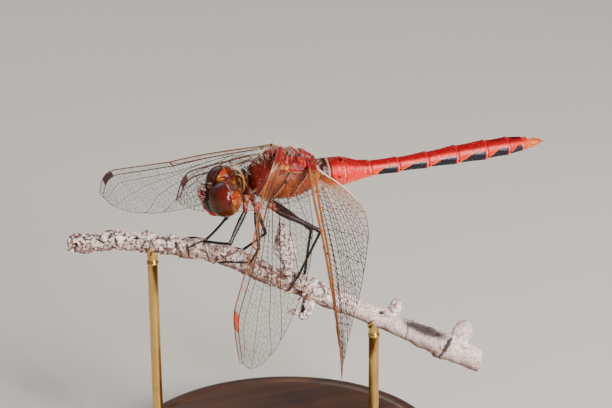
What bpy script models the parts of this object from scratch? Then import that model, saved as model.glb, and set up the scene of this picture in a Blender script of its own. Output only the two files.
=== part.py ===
"""A red male meadowhawk dragonfly, life size, perched on a cut twig that a small stand holds.

Frame: +Z up, the origin at the middle of the stand's underside. The head points to -X and the
tail to +X, so the insect's left side is -Y. Lengths below are in millimetres and angles in
degrees; each mesh is scaled to metres as it is finished. Body places are written relative to
BODY, the middle of the thorax.
"""

import math

import bmesh
import bpy
import numpy as np
from mathutils import Matrix, Vector

MM = 0.001
GAP = 0.06  # left between pieces that meet
FOOT_CLEARANCE = 0.12  # between a foot and the faceted bark
BODY = np.array([0.0, 0.0, 29.0])
LEFT, RIGHT = -1.0, 1.0  # the sign of Y on each side of the insect
SIDES = {"left": LEFT, "right": RIGHT}

# Trunk: x, top, underside and half width of the thorax from front to back.
THORAX_STATIONS = (
    (-3.15, 0.45, -0.95, 0.75),
    (-2.75, 1.00, -1.50, 1.35),
    (-2.10, 1.62, -1.90, 1.80),
    (-1.25, 2.12, -2.15, 2.08),
    (-0.30, 2.32, -2.28, 2.20),
    (0.70, 2.20, -2.28, 2.20),
    (1.70, 1.96, -2.12, 2.05),
    (2.55, 1.66, -1.82, 1.72),
    (3.10, 1.18, -1.45, 1.35),
    (3.42, 0.85, -1.15, 1.08),
)
THORAX_TOP_NARROWING = 0.34
PROTHORAX_CENTRE, PROTHORAX_RADII = (-3.64, 0.0, -0.30), (0.42, 1.10, 1.12)
NECK_FROM, NECK_TO, NECK_RADIUS = (-4.72, -0.60, -0.98), (-4.17, -0.16, -0.66), 0.30

# Abdomen: where each of the ten segments ends, and how the tail's middle and radii run.
ABDOMEN_START = 3.50
SEGMENT_ENDS = (4.43, 5.86, 8.46, 11.18, 13.98, 16.89, 19.79, 22.06, 23.55, 24.15)
TAIL_X = (3.5, 4.4, 5.8, 7.1, 8.5, 11.2, 14.0, 16.9, 19.8, 22.1, 23.5, 24.15)
TAIL_MID_Z = (-0.20, -0.42, -0.56, -0.66, -0.64, -0.62, -0.50, -0.36, -0.25, -0.13, -0.08, -0.08)
TAIL_HALF_HEIGHT = (1.06, 1.26, 1.34, 0.97, 0.76, 0.71, 0.76, 0.88, 0.92, 0.82, 0.64, 0.50)
TAIL_HALF_WIDTH = (1.08, 1.24, 1.24, 0.92, 0.76, 0.74, 0.80, 0.94, 0.98, 0.92, 0.72, 0.58)
RIM_SWELL = 0.035  # how far a segment's rear rim stands out

# Head: its place and attitude, and the radii of its pieces (forward, sideways, up).
HEAD_CENTRE = (-5.60, -0.34, -1.16)
HEAD_ROLL, HEAD_PITCH, HEAD_YAW = 15.0, -10.0, -12.0
EYE_CENTRE, EYE_RADII, EYE_SPLIT = (0.02, 1.30, 0.24), (1.30, 1.40, 1.62), 0.03
HEAD_CORE_CENTRE, HEAD_CORE_RADII = (-0.34, 0.0, -0.02), (0.86, 2.34, 1.66)
FRONS_CENTRE, FRONS_RADII = (1.28, 0.0, 0.26), (0.70, 0.96, 0.62)
LABRUM_CENTRE, LABRUM_RADII = (1.22, 0.0, -0.62), (0.62, 1.12, 0.66)
LABIUM_CENTRE, LABIUM_RADII = (0.42, 0.0, -1.46), (0.92, 1.16, 0.46)
ANTENNA_ROOT, ANTENNA_TIP = (1.36, 0.46, 0.98), (1.90, 0.86, 1.82)
ANTENNA_RADIUS = 0.25

# Wings: the plate is thicker than the real membrane so that it is a sound solid. Its root, an
# x and a z at WING_ROOT_Y, is where the blade begins, and a stalk reaches inwards to the thorax.
WING_THICKNESS = 0.5
WING_ROOT_Y = 1.9
FOREWING = {
    "root": (-1.06, 1.95), "reach": 1.45, "length": 24.2, "sweep": 29.5, "droop": 19.4,
    "pitch": (20.6, 59.1), "tip_rise": 0.82, "chord": 1.015,
    "trailing": ((0.0, 0.030), (0.03, 0.09), (0.08, 0.15), (0.20, 0.20), (0.35, 0.235),
                 (0.50, 0.25), (0.65, 0.25), (0.80, 0.235), (0.90, 0.205), (0.96, 0.17),
                 (1.0, 0.115)),
}
HINDWING = {
    "root": (2.03, 0.91), "reach": 0.75, "length": 23.0, "sweep": 14.1, "droop": 15.9,
    "pitch": (26.3, 83.5), "tip_rise": -1.98, "chord": 0.80,
    "trailing": ((0.0, 0.05), (0.02, 0.16), (0.06, 0.27), (0.12, 0.33), (0.20, 0.35),
                 (0.35, 0.345), (0.50, 0.325), (0.65, 0.29), (0.80, 0.245), (0.90, 0.20),
                 (0.96, 0.16), (1.0, 0.115)),
}
TIP_ROUNDING_START, TIP_ROUNDING, TIP_POWER = 0.80, 0.11, 2.4
WING_ROWS, WING_COLUMNS = 12, 5
STALK_WIDTH = 0.45

# Perch: the twig's middle line and radius, from its broken tip to its cut end.
TWIG_PLAN_ANGLE = 22.0
TWIG_PLAN_X = -5.0  # where the twig passes below the body's own plane
TWIG_LINE = (  # x, z, radius
    (-18.1, -5.98, 0.55), (-17.6, -5.92, 0.84), (-16.6, -6.02, 0.82), (-15.4, -5.92, 0.70),
    (-14.5, -5.56, 0.86), (-13.5, -5.70, 0.80), (-12.4, -5.90, 0.68), (-11.6, -5.86, 0.94),
    (-10.4, -6.12, 0.84), (-9.2, -6.30, 0.80), (-7.8, -6.52, 0.86), (-6.4, -6.74, 0.84),
    (-4.9, -7.12, 0.88), (-3.6, -7.80, 0.92), (-2.3, -8.58, 0.86), (-0.9, -9.24, 0.90),
    (0.5, -9.66, 0.96), (1.9, -10.30, 0.98), (3.3, -11.02, 0.94), (4.8, -11.72, 0.92),
    (6.6, -12.62, 0.90), (8.4, -13.46, 0.92), (10.3, -14.38, 0.98), (11.7, -15.04, 1.10),
    (12.9, -15.66, 1.20), (14.2, -16.36, 1.06), (15.8, -17.16, 1.00),
)
BUD_FOOT, BUD_WAIST, BUD_BELLY, BUD_TIP = (
    (-0.10, -1.98, -9.30), (-0.12, -1.96, -7.90), (-0.38, -1.88, -6.10), (-0.62, -1.80, -3.66))
BUD_RADII = (0.42, 0.46, 0.86, 0.10)
KNOBS = {  # x, angle round the twig, height, radius
    "perch_knob_upper": (8.2, -8.0, 1.35, 0.56),
    "perch_knob_lower": (13.6, -10.0, 1.75, 0.86),
    "perch_stub": (2.4, 158.0, 1.9, 0.62),
}
KNOB_SHAPE = np.array([0.70, 0.95, 1.0, 0.80, 0.35])

# Stand: a turned disc and two straight rods.
BASE_RADIUS, BASE_HEIGHT, BASE_EDGE = 15.0, 3.0, 0.7
ROD_RADIUS = 0.5
ROD_STATIONS = {"stand_rod_front": -11.2, "stand_rod_rear": 7.0}

# Legs: places relative to BODY. A foot is given on the twig by its x and its angle round it.
LEG_RADIUS = {"coxa": 0.40, "femur": 0.30, "tibia": 0.25, "tarsus": 0.25}
LEGS = {
    "fore_left": {"coxa": (-3.42, -0.66, -1.62), "trochanter": (-3.63, -0.95, -2.90),
                  "knee": (-5.41, -2.05, -5.25), "foot": (-7.05, 14.0), "toe": (-8.1, 62.0)},
    "fore_right": {"coxa": (-3.42, 0.66, -1.62), "trochanter": (-3.50, 1.05, -2.80),
                   "knee": (-4.11, 3.20, -4.85), "foot": (-6.95, -40.0), "toe": (-8.3, -24.0)},
    "mid_left": {"coxa": (-2.52, -0.98, -2.28), "trochanter": (-2.76, -1.38, -3.05),
                 "knee": (-3.26, -3.45, -5.45), "foot": (-3.35, 58.0), "toe": (-5.5, 116.0)},
    "mid_right": {"coxa": (-2.30, 0.98, -2.28), "trochanter": (-2.00, 1.45, -3.05),
                  "knee": (-0.45, 2.85, -6.60), "foot": (-4.1, -42.0), "toe": (-5.5, -84.0)},
    "hind_left": {"coxa": (-1.30, -1.18, -2.46), "trochanter": (-0.86, -1.72, -2.98),
                  "knee": (2.20, -4.20, -4.36), "foot": (0.45, 52.0), "toe": (0.1, 118.0)},
    "hind_right": {"coxa": (-1.10, 1.18, -2.46), "trochanter": (-0.50, 1.75, -3.00),
                   "knee": (4.10, 3.30, -7.00), "foot": (1.0, -46.0), "toe": (0.2, -96.0)},
}

RED = (0.46, 0.035, 0.03)
DARK_RED = (0.22, 0.03, 0.02)
AMBER = (0.62, 0.26, 0.07)
BLACK = (0.02, 0.018, 0.02)
BARK = (0.52, 0.46, 0.44)
WOOD = (0.16, 0.08, 0.04)
BRASS = (0.72, 0.52, 0.24)


def clear_scene():
    """Remove whatever the file opens with."""
    for item in list(bpy.data.objects):
        bpy.data.objects.remove(item, do_unlink=True)


def finish_material(name, colour, roughness, metallic=0.0):
    """A plain Principled material for one node."""
    material = bpy.data.materials.new(name)
    material.use_nodes = True
    shader = material.node_tree.nodes["Principled BSDF"]
    shader.inputs["Base Color"].default_value = (*colour, 1.0)
    shader.inputs["Roughness"].default_value = roughness
    shader.inputs["Metallic"].default_value = metallic
    return material


def add_object(name, bm, colour, roughness=0.5, metallic=0.0, place=True):
    """Turn a bmesh in millimetres into a named object in metres."""
    bmesh.ops.recalc_face_normals(bm, faces=bm.faces)
    if place:
        bmesh.ops.translate(bm, verts=bm.verts, vec=Vector(BODY))
    bmesh.ops.scale(bm, verts=bm.verts, vec=(MM, MM, MM))
    mesh = bpy.data.meshes.new(name)
    bm.to_mesh(mesh)
    bm.free()
    mesh.shade_smooth()
    mesh.set_sharp_from_angle(angle=math.radians(40.0))
    mesh.materials.append(finish_material(name, colour, roughness, metallic))
    item = bpy.data.objects.new(name, mesh)
    bpy.context.scene.collection.objects.link(item)
    return item


def skin_rings(rings):
    """A closed bmesh through rings of points, with a flat cap at each end."""
    bm = bmesh.new()
    loops = [[bm.verts.new(Vector(point)) for point in ring] for ring in rings]
    for near, far in zip(loops, loops[1:]):
        for i in range(len(near)):
            j = (i + 1) % len(near)
            bm.faces.new((near[i], near[j], far[j], far[i]))
    bm.faces.new(loops[0])
    bm.faces.new(loops[-1])
    return bm


def unit(vector):
    """The vector's direction."""
    return vector / np.linalg.norm(vector)


def cross_ring(centre, across, up, half_width, half_height, count, narrowing=0.0):
    """Points round an ellipse, drawn in above its middle by the narrowing."""
    angle = np.linspace(0.0, 2.0 * np.pi, count, endpoint=False)
    level = np.sin(angle)
    width = half_width * np.cos(angle) * (1.0 - narrowing * np.clip(level, 0.0, 1.0) ** 1.5)
    return centre + np.outer(width, across) + np.outer(half_height * level, up)


def path_frames(points):
    """For each point of a path, two directions square to it that turn as little as they can."""
    points = np.asarray(points, float)
    along = np.gradient(points, axis=0)
    along /= np.linalg.norm(along, axis=1)[:, None]
    across = np.cross(along[0], (0.0, 0.0, 1.0))
    if np.linalg.norm(across) < 0.2:
        across = np.cross(along[0], (0.0, 1.0, 0.0))
    frames = []
    for direction in along:
        across = across - direction * (across @ direction)
        across /= np.linalg.norm(across)
        frames.append((across, np.cross(across, direction)))
    return frames


def tube(points, radii, count=8):
    """A closed tube along a path, with a radius for each point."""
    points = np.asarray(points, float)
    rings = [cross_ring(p, a, u, r, r, count)
             for p, (a, u), r in zip(points, path_frames(points), radii)]
    return skin_rings(rings)


def capsule(start, end, radius, end_radius=None, count=8):
    """A straight tube with rounded ends whose tips are at the start and the end."""
    return limb([start, end], radius, end_radius, count)


def limb(joints, radius, end_radius=None, count=8):
    """A tube with rounded ends through a few joints, thinning evenly from end to end."""
    joints = np.asarray(joints, float)
    end_radius = radius if end_radius is None else end_radius
    reach = np.concatenate([[0.0], np.cumsum(np.linalg.norm(np.diff(joints, axis=0), axis=1))])
    length = reach[-1]
    turn = np.radians([25.0, 60.0])
    near, far = radius * (1.0 - np.cos(turn)), end_radius * (1.0 - np.cos(turn[::-1]))
    along = np.concatenate([near, [radius], reach[1:-1], [length - end_radius], length - far])
    thin = np.interp(along, [radius, length - end_radius], [radius, end_radius])
    rounding = np.ones_like(along)
    rounding[:2], rounding[-2:] = np.sin(turn), np.sin(turn[::-1])
    points = np.stack([np.interp(along, reach, joints[:, k]) for k in range(3)], axis=1)
    return tube(points, thin * rounding, count)


def ellipsoid(centre, radii, across=14, down=9):
    """A closed ellipsoid in millimetres."""
    bm = bmesh.new()
    bmesh.ops.create_uvsphere(bm, u_segments=across, v_segments=down, radius=1.0)
    bmesh.ops.scale(bm, verts=bm.verts, vec=Vector(radii))
    bmesh.ops.translate(bm, verts=bm.verts, vec=Vector(centre))
    return bm


def carve(bm, cutters, thickness=0.0):
    """Cut closed bmeshes out of another with the exact Boolean, and free them.

    A sheet is first given its thickness.
    """
    target = scratch_object("carved", bm)
    if thickness:
        thicken = target.modifiers.new("thickness", "SOLIDIFY")
        thicken.thickness = thickness
        thicken.offset = 0.0
    helpers = [scratch_object("cutter", cutter) for cutter in cutters]
    for helper in helpers:
        cut = target.modifiers.new("cut", "BOOLEAN")
        cut.operation = "DIFFERENCE"
        cut.solver = "EXACT"
        cut.object = helper
    bpy.context.view_layer.update()
    evaluated = target.evaluated_get(bpy.context.evaluated_depsgraph_get())
    result = bmesh.new()
    result.from_mesh(evaluated.to_mesh())
    evaluated.to_mesh_clear()
    for item in (target, *helpers):
        bpy.data.objects.remove(item, do_unlink=True)
    bmesh.ops.remove_doubles(result, verts=result.verts, dist=0.0004)
    return result


def scratch_object(name, bm):
    """A hidden helper object at millimetre scale."""
    bmesh.ops.recalc_face_normals(bm, faces=bm.faces)
    mesh = bpy.data.meshes.new(name)
    bm.to_mesh(mesh)
    bm.free()
    item = bpy.data.objects.new(name, mesh)
    item.hide_render = True
    item.display_type = "WIRE"
    bpy.context.scene.collection.objects.link(item)
    return item


# ---------------------------------------------------------------- head


def head_matrix():
    """Turns the head's own axes (forward, right, up) into the body's."""
    own = Matrix(((-1.0, 0.0, 0.0), (0.0, 1.0, 0.0), (0.0, 0.0, 1.0))).to_4x4()
    turn = (Matrix.Rotation(math.radians(HEAD_YAW), 4, "Z")
            @ Matrix.Rotation(math.radians(HEAD_ROLL), 4, "X")
            @ Matrix.Rotation(math.radians(HEAD_PITCH), 4, "Y"))
    return Matrix.Translation(Vector(HEAD_CENTRE)) @ turn @ own


def eye_shape(side, grow=0.0):
    """One compound eye in the head's axes, cut flat where it meets its twin."""
    centre = Vector((EYE_CENTRE[0], side * EYE_CENTRE[1], EYE_CENTRE[2]))
    bm = ellipsoid(centre, [r + grow for r in EYE_RADII], across=18, down=12)
    split = side * (EYE_SPLIT - grow)
    cut = bmesh.ops.bisect_plane(
        bm, geom=[*bm.verts, *bm.edges, *bm.faces], plane_co=(0.0, split, 0.0),
        plane_no=(0.0, -side, 0.0), clear_outer=True)
    edge = [e for e in cut["geom_cut"] if isinstance(e, bmesh.types.BMEdge)]
    if edge:
        bmesh.ops.contextual_create(bm, geom=edge)
    return bm


def antenna_shape(side, grow=0.0):
    """One short feeler in the head's axes."""
    root, tip = (np.array([f, side * s, u]) for f, s, u in (ANTENNA_ROOT, ANTENNA_TIP))
    return capsule(root, tip, ANTENNA_RADIUS + grow)


def build_head():
    """Eyes, feelers, and the face pieces, each cut back from what it meets."""
    eyes = [lambda s=s: eye_shape(s, GAP) for s in SIDES.values()]
    feelers = [lambda s=s: antenna_shape(s, GAP) for s in SIDES.values()]
    faces = (
        ("frons", FRONS_CENTRE, FRONS_RADII, RED, ()),
        ("labrum", LABRUM_CENTRE, LABRUM_RADII, AMBER, (0,)),
        ("labium", LABIUM_CENTRE, LABIUM_RADII, AMBER, (0, 1)),
        ("head", HEAD_CORE_CENTRE, HEAD_CORE_RADII, DARK_RED, (0, 1, 2)),
    )
    grown = [lambda c=c, r=r: ellipsoid(c, [x + GAP for x in r]) for _, c, r, _, _ in faces]
    matrix = head_matrix()
    for name, centre, radii, colour, in_front in faces:
        cutters = [make() for make in eyes + feelers] + [grown[i]() for i in in_front]
        if name == "head":
            socket = neck_shape(GAP)
            bmesh.ops.transform(socket, matrix=matrix.inverted(), verts=socket.verts)
            cutters.append(socket)
        bm = carve(ellipsoid(centre, radii), cutters)
        keep_largest(bm)
        place_head_piece(name, bm, matrix, colour)
    for side_name, side in SIDES.items():
        place_head_piece(f"eye_{side_name}", eye_shape(side), matrix, DARK_RED, 0.15)
        place_head_piece(f"antenna_{side_name}", antenna_shape(side), matrix, BLACK)


def place_head_piece(name, bm, matrix, colour, roughness=0.4):
    """Turn a piece from the head's axes into the body's and add it."""
    bmesh.ops.transform(bm, matrix=matrix, verts=bm.verts)
    add_object(name, bm, colour, roughness)


def keep_largest(bm):
    """Drop the small islands that a cut leaves, and keep the largest."""
    left, islands = set(bm.verts), []
    while left:
        stack, island = [left.pop()], set()
        while stack:
            vert = stack.pop()
            island.add(vert)
            for edge in vert.link_edges:
                other = edge.other_vert(vert)
                if other in left:
                    left.discard(other)
                    stack.append(other)
        islands.append(island)
    islands.sort(key=len)
    spare = [vert for island in islands[:-1] for vert in island]
    if spare:
        bmesh.ops.delete(bm, geom=spare, context="VERTS")


# ---------------------------------------------------------------- trunk


def build_trunk():
    """Neck, prothorax and the winged thorax."""
    add_object("neck", neck_shape(), BLACK, 0.6)
    add_object("prothorax", ellipsoid(PROTHORAX_CENTRE, PROTHORAX_RADII), AMBER, 0.5)
    add_object("thorax", thorax_shape(), DARK_RED, 0.45)


def thorax_shape(grow=0.0):
    """The thorax's barrel; grown, it cuts the root of each wing."""
    rings = []
    for x, top, under, half_width in THORAX_STATIONS:
        centre = np.array([x, 0.0, (top + under) / 2.0])
        rings.append(cross_ring(centre, np.array([0.0, 1.0, 0.0]), np.array([0.0, 0.0, 1.0]),
                                half_width + grow, (top - under) / 2.0 + grow, 22,
                                THORAX_TOP_NARROWING))
    return skin_rings(rings)


def neck_shape(grow=0.0):
    """The soft stalk between head and prothorax; grown, it cuts its own socket."""
    start, end = np.array(NECK_FROM), np.array(NECK_TO)
    along = unit(end - start) * grow
    waist = np.array([1.0, 0.9, 1.0]) * NECK_RADIUS + grow
    return tube(np.linspace(start - along, end + along, 3), waist, count=12)


def tail_at(x):
    """Middle height, half height and half width of the abdomen at x."""
    return (np.interp(x, TAIL_X, TAIL_MID_Z), np.interp(x, TAIL_X, TAIL_HALF_HEIGHT),
            np.interp(x, TAIL_X, TAIL_HALF_WIDTH))


def build_abdomen():
    """Ten segments, each with a slightly raised rear rim, and the tail's claspers."""
    start = ABDOMEN_START
    for number, end in enumerate(SEGMENT_ENDS, 1):
        length = end - start
        places = (0.0, 0.12, 0.5, 0.86, 0.95, 1.0)
        swells = (-RIM_SWELL, 0.0, 0.0, 0.0, RIM_SWELL, 0.0)
        rings = []
        for place, swell in zip(places, swells):
            x = start + GAP / 2.0 + (length - GAP) * place
            mid, height, width = tail_at(x)
            rings.append(cross_ring(np.array([x, 0.0, mid]), np.array([0.0, 1.0, 0.0]),
                                    np.array([0.0, 0.0, 1.0]), width + swell,
                                    height + swell, 16, 0.12))
        add_object(f"abdomen_{number:02d}", skin_rings(rings), RED, 0.4)
        start = end
    end_z = TAIL_MID_Z[-1]
    for side_name, side in SIDES.items():
        root = np.array([SEGMENT_ENDS[-1] + GAP, side * 0.31, end_z + 0.18])
        tip = root + np.array([1.42, side * -0.02, -0.16])
        add_object(f"cercus_{side_name}", capsule(root, tip, 0.25, 0.25, count=8), AMBER, 0.4)
    root = np.array([SEGMENT_ENDS[-1] + GAP, 0.0, end_z - 0.34])
    add_object("epiproct", capsule(root, root + np.array([0.95, 0.0, -0.02]), 0.25), AMBER, 0.4)


# ---------------------------------------------------------------- wings


def leading_edge(t):
    """How far behind the span line the front edge lies, as a share of the length."""
    bulge = np.where(t < 0.5, 0.012 * np.sin(np.pi * np.clip(t, 0.0, 0.5) / 0.5), 0.0)
    tip = TIP_ROUNDING * np.clip((t - TIP_ROUNDING_START) / (1.0 - TIP_ROUNDING_START), 0, 1)
    return -bulge + tip * np.clip(tip / TIP_ROUNDING, 0, 1) ** (TIP_POWER - 1.0)


def wing_directions(wing, side):
    """Span, chord and normal directions of a wing, for one side."""
    sweep, droop = math.radians(wing["sweep"]), math.radians(wing["droop"])
    span = np.array([-math.sin(sweep) * math.cos(droop), side * math.cos(sweep) * math.cos(droop),
                     -math.sin(droop)])
    chord = np.array([1.0, 0.0, 0.0]) - span * span[0]
    chord /= np.linalg.norm(chord)
    normal = np.cross(span, chord)
    return span, chord, normal * math.copysign(1.0, normal[2])


def wing_sheet(wing, side):
    """Rows of points from root to tip, each row running from front to rear edge."""
    span, chord, normal = wing_directions(wing, side)
    length = wing["length"]
    root = np.array([wing["root"][0], side * WING_ROOT_Y, wing["root"][1]])
    stations, chords = np.array(wing["trailing"]).T
    start = -wing["reach"] / length
    reach = np.concatenate([[start, 0.0, 0.015], np.linspace(0.035, 1.0, WING_ROWS) ** 0.9])
    rows = []
    for t in reach:
        inside = max(t, 0.0)
        front = leading_edge(inside) * length
        rear = np.interp(inside, stations, chords) * length * wing["chord"]
        rear = max(rear, front + STALK_WIDTH)
        pitch = math.radians(np.interp(inside, (0.0, 1.0), wing["pitch"]))
        back = chord * math.cos(pitch) - normal * math.sin(pitch)
        rise = wing["tip_rise"] * inside ** 2
        offset = np.linspace(front, rear, WING_COLUMNS)
        rows.append(root + span * t * length + np.outer(offset, back) + (0.0, 0.0, rise))
    return np.array(rows)


def build_wings():
    """Four blades: a twisted sheet for each, thickened and cut back from the thorax."""
    for pair, wing in (("forewing", FOREWING), ("hindwing", HINDWING)):
        for side_name, side in SIDES.items():
            sheet = wing_sheet(wing, side)
            bm = bmesh.new()
            grid = [[bm.verts.new(Vector(p)) for p in row] for row in sheet]
            for near, far in zip(grid, grid[1:]):
                for i in range(WING_COLUMNS - 1):
                    bm.faces.new((near[i], near[i + 1], far[i + 1], far[i]))
            blade = carve(bm, [thorax_shape(GAP)], WING_THICKNESS)
            keep_largest(blade)
            add_object(f"{pair}_{side_name}", blade, AMBER, 0.2)


# ---------------------------------------------------------------- perch and stand


def twig_y(x):
    """The twig's Y at x: it crosses below the body at a shallow angle."""
    return -math.tan(math.radians(TWIG_PLAN_ANGLE)) * (x - TWIG_PLAN_X)


def twig_at(x):
    """Middle point and radius of the twig at x."""
    xs, zs, rs = np.array(TWIG_LINE).T
    return np.array([x, twig_y(x), np.interp(x, xs, zs)]), float(np.interp(x, xs, rs))


def on_twig(x, angle, lift):
    """A point over the twig's bark: angle 0 is its top, and 90 its left flank."""
    middle, radius = twig_at(x)
    along = twig_at(x + 0.5)[0] - twig_at(x - 0.5)[0]
    along /= np.linalg.norm(along)
    outward = np.cross((0.0, 0.0, 1.0), along)
    outward /= -np.linalg.norm(outward)
    upward = np.cross(outward, along)
    upward *= math.copysign(1.0, upward[2])
    turn = math.radians(angle)
    return middle + (radius + lift) * (math.cos(turn) * upward + math.sin(turn) * outward)


def twig_shape(grow=0.0):
    """The twig's lumpy length; grown, it cuts the foot of whatever stands on it."""
    points = [np.array([x, twig_y(x), z]) for x, z, _ in TWIG_LINE]
    return tube(points, [r + grow for _, _, r in TWIG_LINE], count=10)


def build_perch():
    """The twig, its upright bud, two round knobs and a broken stub."""
    add_object("perch_twig", twig_shape(), BARK, 0.85)
    bud = carve(tube([BUD_FOOT, BUD_WAIST, BUD_BELLY, BUD_TIP], BUD_RADII, count=10),
                [twig_shape(GAP)])
    add_object("perch_bud", bud, BARK, 0.85)
    for name, (x, lean, height, radius) in KNOBS.items():
        path = np.linspace(on_twig(x, lean, -0.5), on_twig(x, lean, height), 5)
        knob = carve(tube(path, radius * KNOB_SHAPE, 10), [twig_shape(GAP)])
        add_object(name, knob, BARK, 0.85)


def build_stand():
    """A turned disc with eased edges, and two rods up to the twig."""
    bm = bmesh.new()
    made = bmesh.ops.create_cone(bm, cap_ends=True, segments=36, radius1=BASE_RADIUS,
                                 radius2=BASE_RADIUS, depth=BASE_HEIGHT)
    bmesh.ops.translate(bm, verts=made["verts"], vec=(0.0, 0.0, BASE_HEIGHT / 2.0))
    rims = [e for e in bm.edges if abs(e.verts[0].co.z - e.verts[1].co.z) < 1e-6]
    top_rim = [e for e in rims if e.verts[0].co.z > BASE_HEIGHT / 2.0]
    bmesh.ops.bevel(bm, geom=top_rim, offset=BASE_EDGE, segments=2, affect="EDGES", profile=0.5)
    add_object("stand_base", bm, WOOD, 0.45, place=False)
    for name, x in ROD_STATIONS.items():
        top = twig_at(x)[0]
        foot = np.array([top[0], top[1], BASE_HEIGHT + GAP - BODY[2]])
        rod = tube([foot, top], (ROD_RADIUS, ROD_RADIUS), count=14)
        add_object(name, carve(rod, [twig_shape(GAP)]), BRASS, 0.3, 1.0)


# ---------------------------------------------------------------- legs


def setback(before, joint, after, radius):
    """How far two rounded limbs stop short of their joint so that they just clear."""
    one = np.asarray(before, float) - joint
    two = np.asarray(after, float) - joint
    cosine = one @ two / (np.linalg.norm(one) * np.linalg.norm(two))
    half = math.acos(max(-1.0, min(1.0, cosine))) / 2.0
    return (radius + GAP / 2.0) / max(math.sin(half), 0.3) - radius


def build_legs():
    """Six legs, each a coxa, femur, tibia and tarsus between named joints."""
    for name, leg in LEGS.items():
        foot = [on_twig(x, angle, LEG_RADIUS["tarsus"] + FOOT_CLEARANCE)
                for x, angle in np.linspace(leg["foot"], leg["toe"], 4)]
        joints = [np.array(leg["coxa"]), np.array(leg["trochanter"]), np.array(leg["knee"]),
                  foot[0]]
        corners = [*joints, foot[1]]
        backs = [0.0, *(setback(*corners[i - 1:i + 2], 0.31) for i in (1, 2, 3))]
        for i, (part, radius) in enumerate(LEG_RADIUS.items()):
            if part == "tarsus":
                run = [foot[0] + unit(foot[1] - foot[0]) * backs[3], *foot[1:]]
            else:
                along = unit(joints[i + 1] - joints[i])
                run = [joints[i] + along * backs[i], joints[i + 1] - along * backs[i + 1]]
            bm = limb(run, radius, min(radius, 0.3), count=7)
            add_object(f"leg_{name}_{part}", bm, BLACK if i else RED, 0.3)


def main():
    """Build every node of the model."""
    clear_scene()
    build_head()
    build_trunk()
    build_abdomen()
    build_wings()
    build_legs()
    build_perch()
    build_stand()


main()
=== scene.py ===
"""The looks of a red male meadowhawk dragonfly on its twig and display stand.

Shapes are worked out in millimetres from the middle of the thorax (BODY above the base's
underside). The head points to -X, the tail to +X and the insect's left side is -Y. Every piece is
put into metres as it is made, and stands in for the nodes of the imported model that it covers.
"""

from __future__ import annotations

import logging
import math
from dataclasses import dataclass, field
from enum import Enum, IntEnum
from functools import cache

import bmesh
import bpy
import numpy as np
from mathutils import Matrix, Vector


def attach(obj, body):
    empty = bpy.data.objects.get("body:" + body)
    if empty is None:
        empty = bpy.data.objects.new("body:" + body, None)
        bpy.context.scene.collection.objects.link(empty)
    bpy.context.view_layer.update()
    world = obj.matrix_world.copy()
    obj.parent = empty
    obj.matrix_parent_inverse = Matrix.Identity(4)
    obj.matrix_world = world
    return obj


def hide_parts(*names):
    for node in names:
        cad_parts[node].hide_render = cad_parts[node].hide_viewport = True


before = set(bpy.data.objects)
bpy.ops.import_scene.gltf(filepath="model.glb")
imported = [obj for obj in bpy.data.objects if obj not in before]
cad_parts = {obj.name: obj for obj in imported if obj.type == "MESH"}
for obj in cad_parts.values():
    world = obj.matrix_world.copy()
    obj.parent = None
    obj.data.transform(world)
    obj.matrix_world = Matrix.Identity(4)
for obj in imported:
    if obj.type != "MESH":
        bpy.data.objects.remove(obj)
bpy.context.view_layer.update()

log = logging.getLogger("dragonfly")

Array = np.ndarray
Triple = tuple[float, float, float]
Colour = Triple
Row = Array | tuple[float, ...]  # numbers in a row, worked out or written out
Socket = bpy.types.NodeSocket
Sockets = bpy.types.bpy_prop_collection
Feed = Socket | float | tuple[float, ...]
MM = 0.001
BODY = np.array([0.0, 0.0, 29.0])
ROOT = "root"
SIDES = {"left": -1.0, "right": 1.0}
UP = np.array([0.0, 0.0, 1.0])
SIDEWAYS = np.array([0.0, 1.0, 0.0])
TUFT_PATCH = 0.003  # how much of the unwrap one hair covers
SPIKE_CORNERS = 9  # three at the root, three at the middle and three at the tip
CLOUD = (0.3, 0.7)  # the span of cloudy noise
WHOLE = (0.0, 1.0)


class Slot(Enum):
    """The record's material slots."""

    RED = "red_cuticle"
    DARK_RED = "dark_red_cuticle"
    AMBER = "amber_cuticle"
    BLACK = "black_cuticle"
    EYE = "compound_eye"
    WING = "wing_membrane"
    BARK = "bark"
    WOOD = "stand_wood"
    BRASS = "stand_brass"


class Seed(IntEnum):
    """Where each run of random draws starts."""

    LATTICE = 11
    TAIL_HAIR = 31
    THORAX_HAIR = 47
    HEAD_HAIR = 53
    BRISTLES = 59
    SPLINTERS = 71


def rgb(red: int, green: int, blue: int) -> Colour:
    """A display colour, 0 to 255, as linear light.

    Args:
        red: its red part.
        green: its green part.
        blue: its blue part.

    Returns:
        The three parts, from 0 to 1.
    """
    value = np.array([red, green, blue]) / 255.0
    linear = np.where(value <= 0.04045, value / 12.92, ((value + 0.055) / 1.055) ** 2.4)
    return tuple(float(v) for v in linear)


@dataclass(frozen=True)
class Palette:
    """The insect's and the twig's colours."""

    scarlet: Colour = rgb(214, 4, 10)
    crimson: Colour = rgb(140, 2, 12)
    rose: Colour = rgb(236, 84, 80)
    rust: Colour = rgb(134, 42, 12)
    orange: Colour = rgb(222, 84, 14)
    amber: Colour = rgb(226, 150, 48)
    tan: Colour = rgb(190, 140, 96)
    flesh: Colour = rgb(214, 150, 128)
    cream: Colour = rgb(240, 222, 198)
    pale_gold: Colour = rgb(232, 204, 150)
    ash: Colour = rgb(196, 180, 172)
    black: Colour = rgb(9, 7, 10)
    navy: Colour = rgb(12, 12, 26)
    vein_brown: Colour = rgb(46, 22, 10)
    membrane: Colour = rgb(92, 58, 28)
    bark_light: Colour = rgb(238, 218, 216)
    bark_mid: Colour = rgb(186, 158, 154)
    bark_tan: Colour = rgb(172, 120, 86)
    bark_dark: Colour = rgb(40, 24, 20)
    walnut: Colour = rgb(92, 56, 34)
    walnut_dark: Colour = rgb(48, 27, 17)
    brass: Colour = rgb(206, 164, 92)


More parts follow.
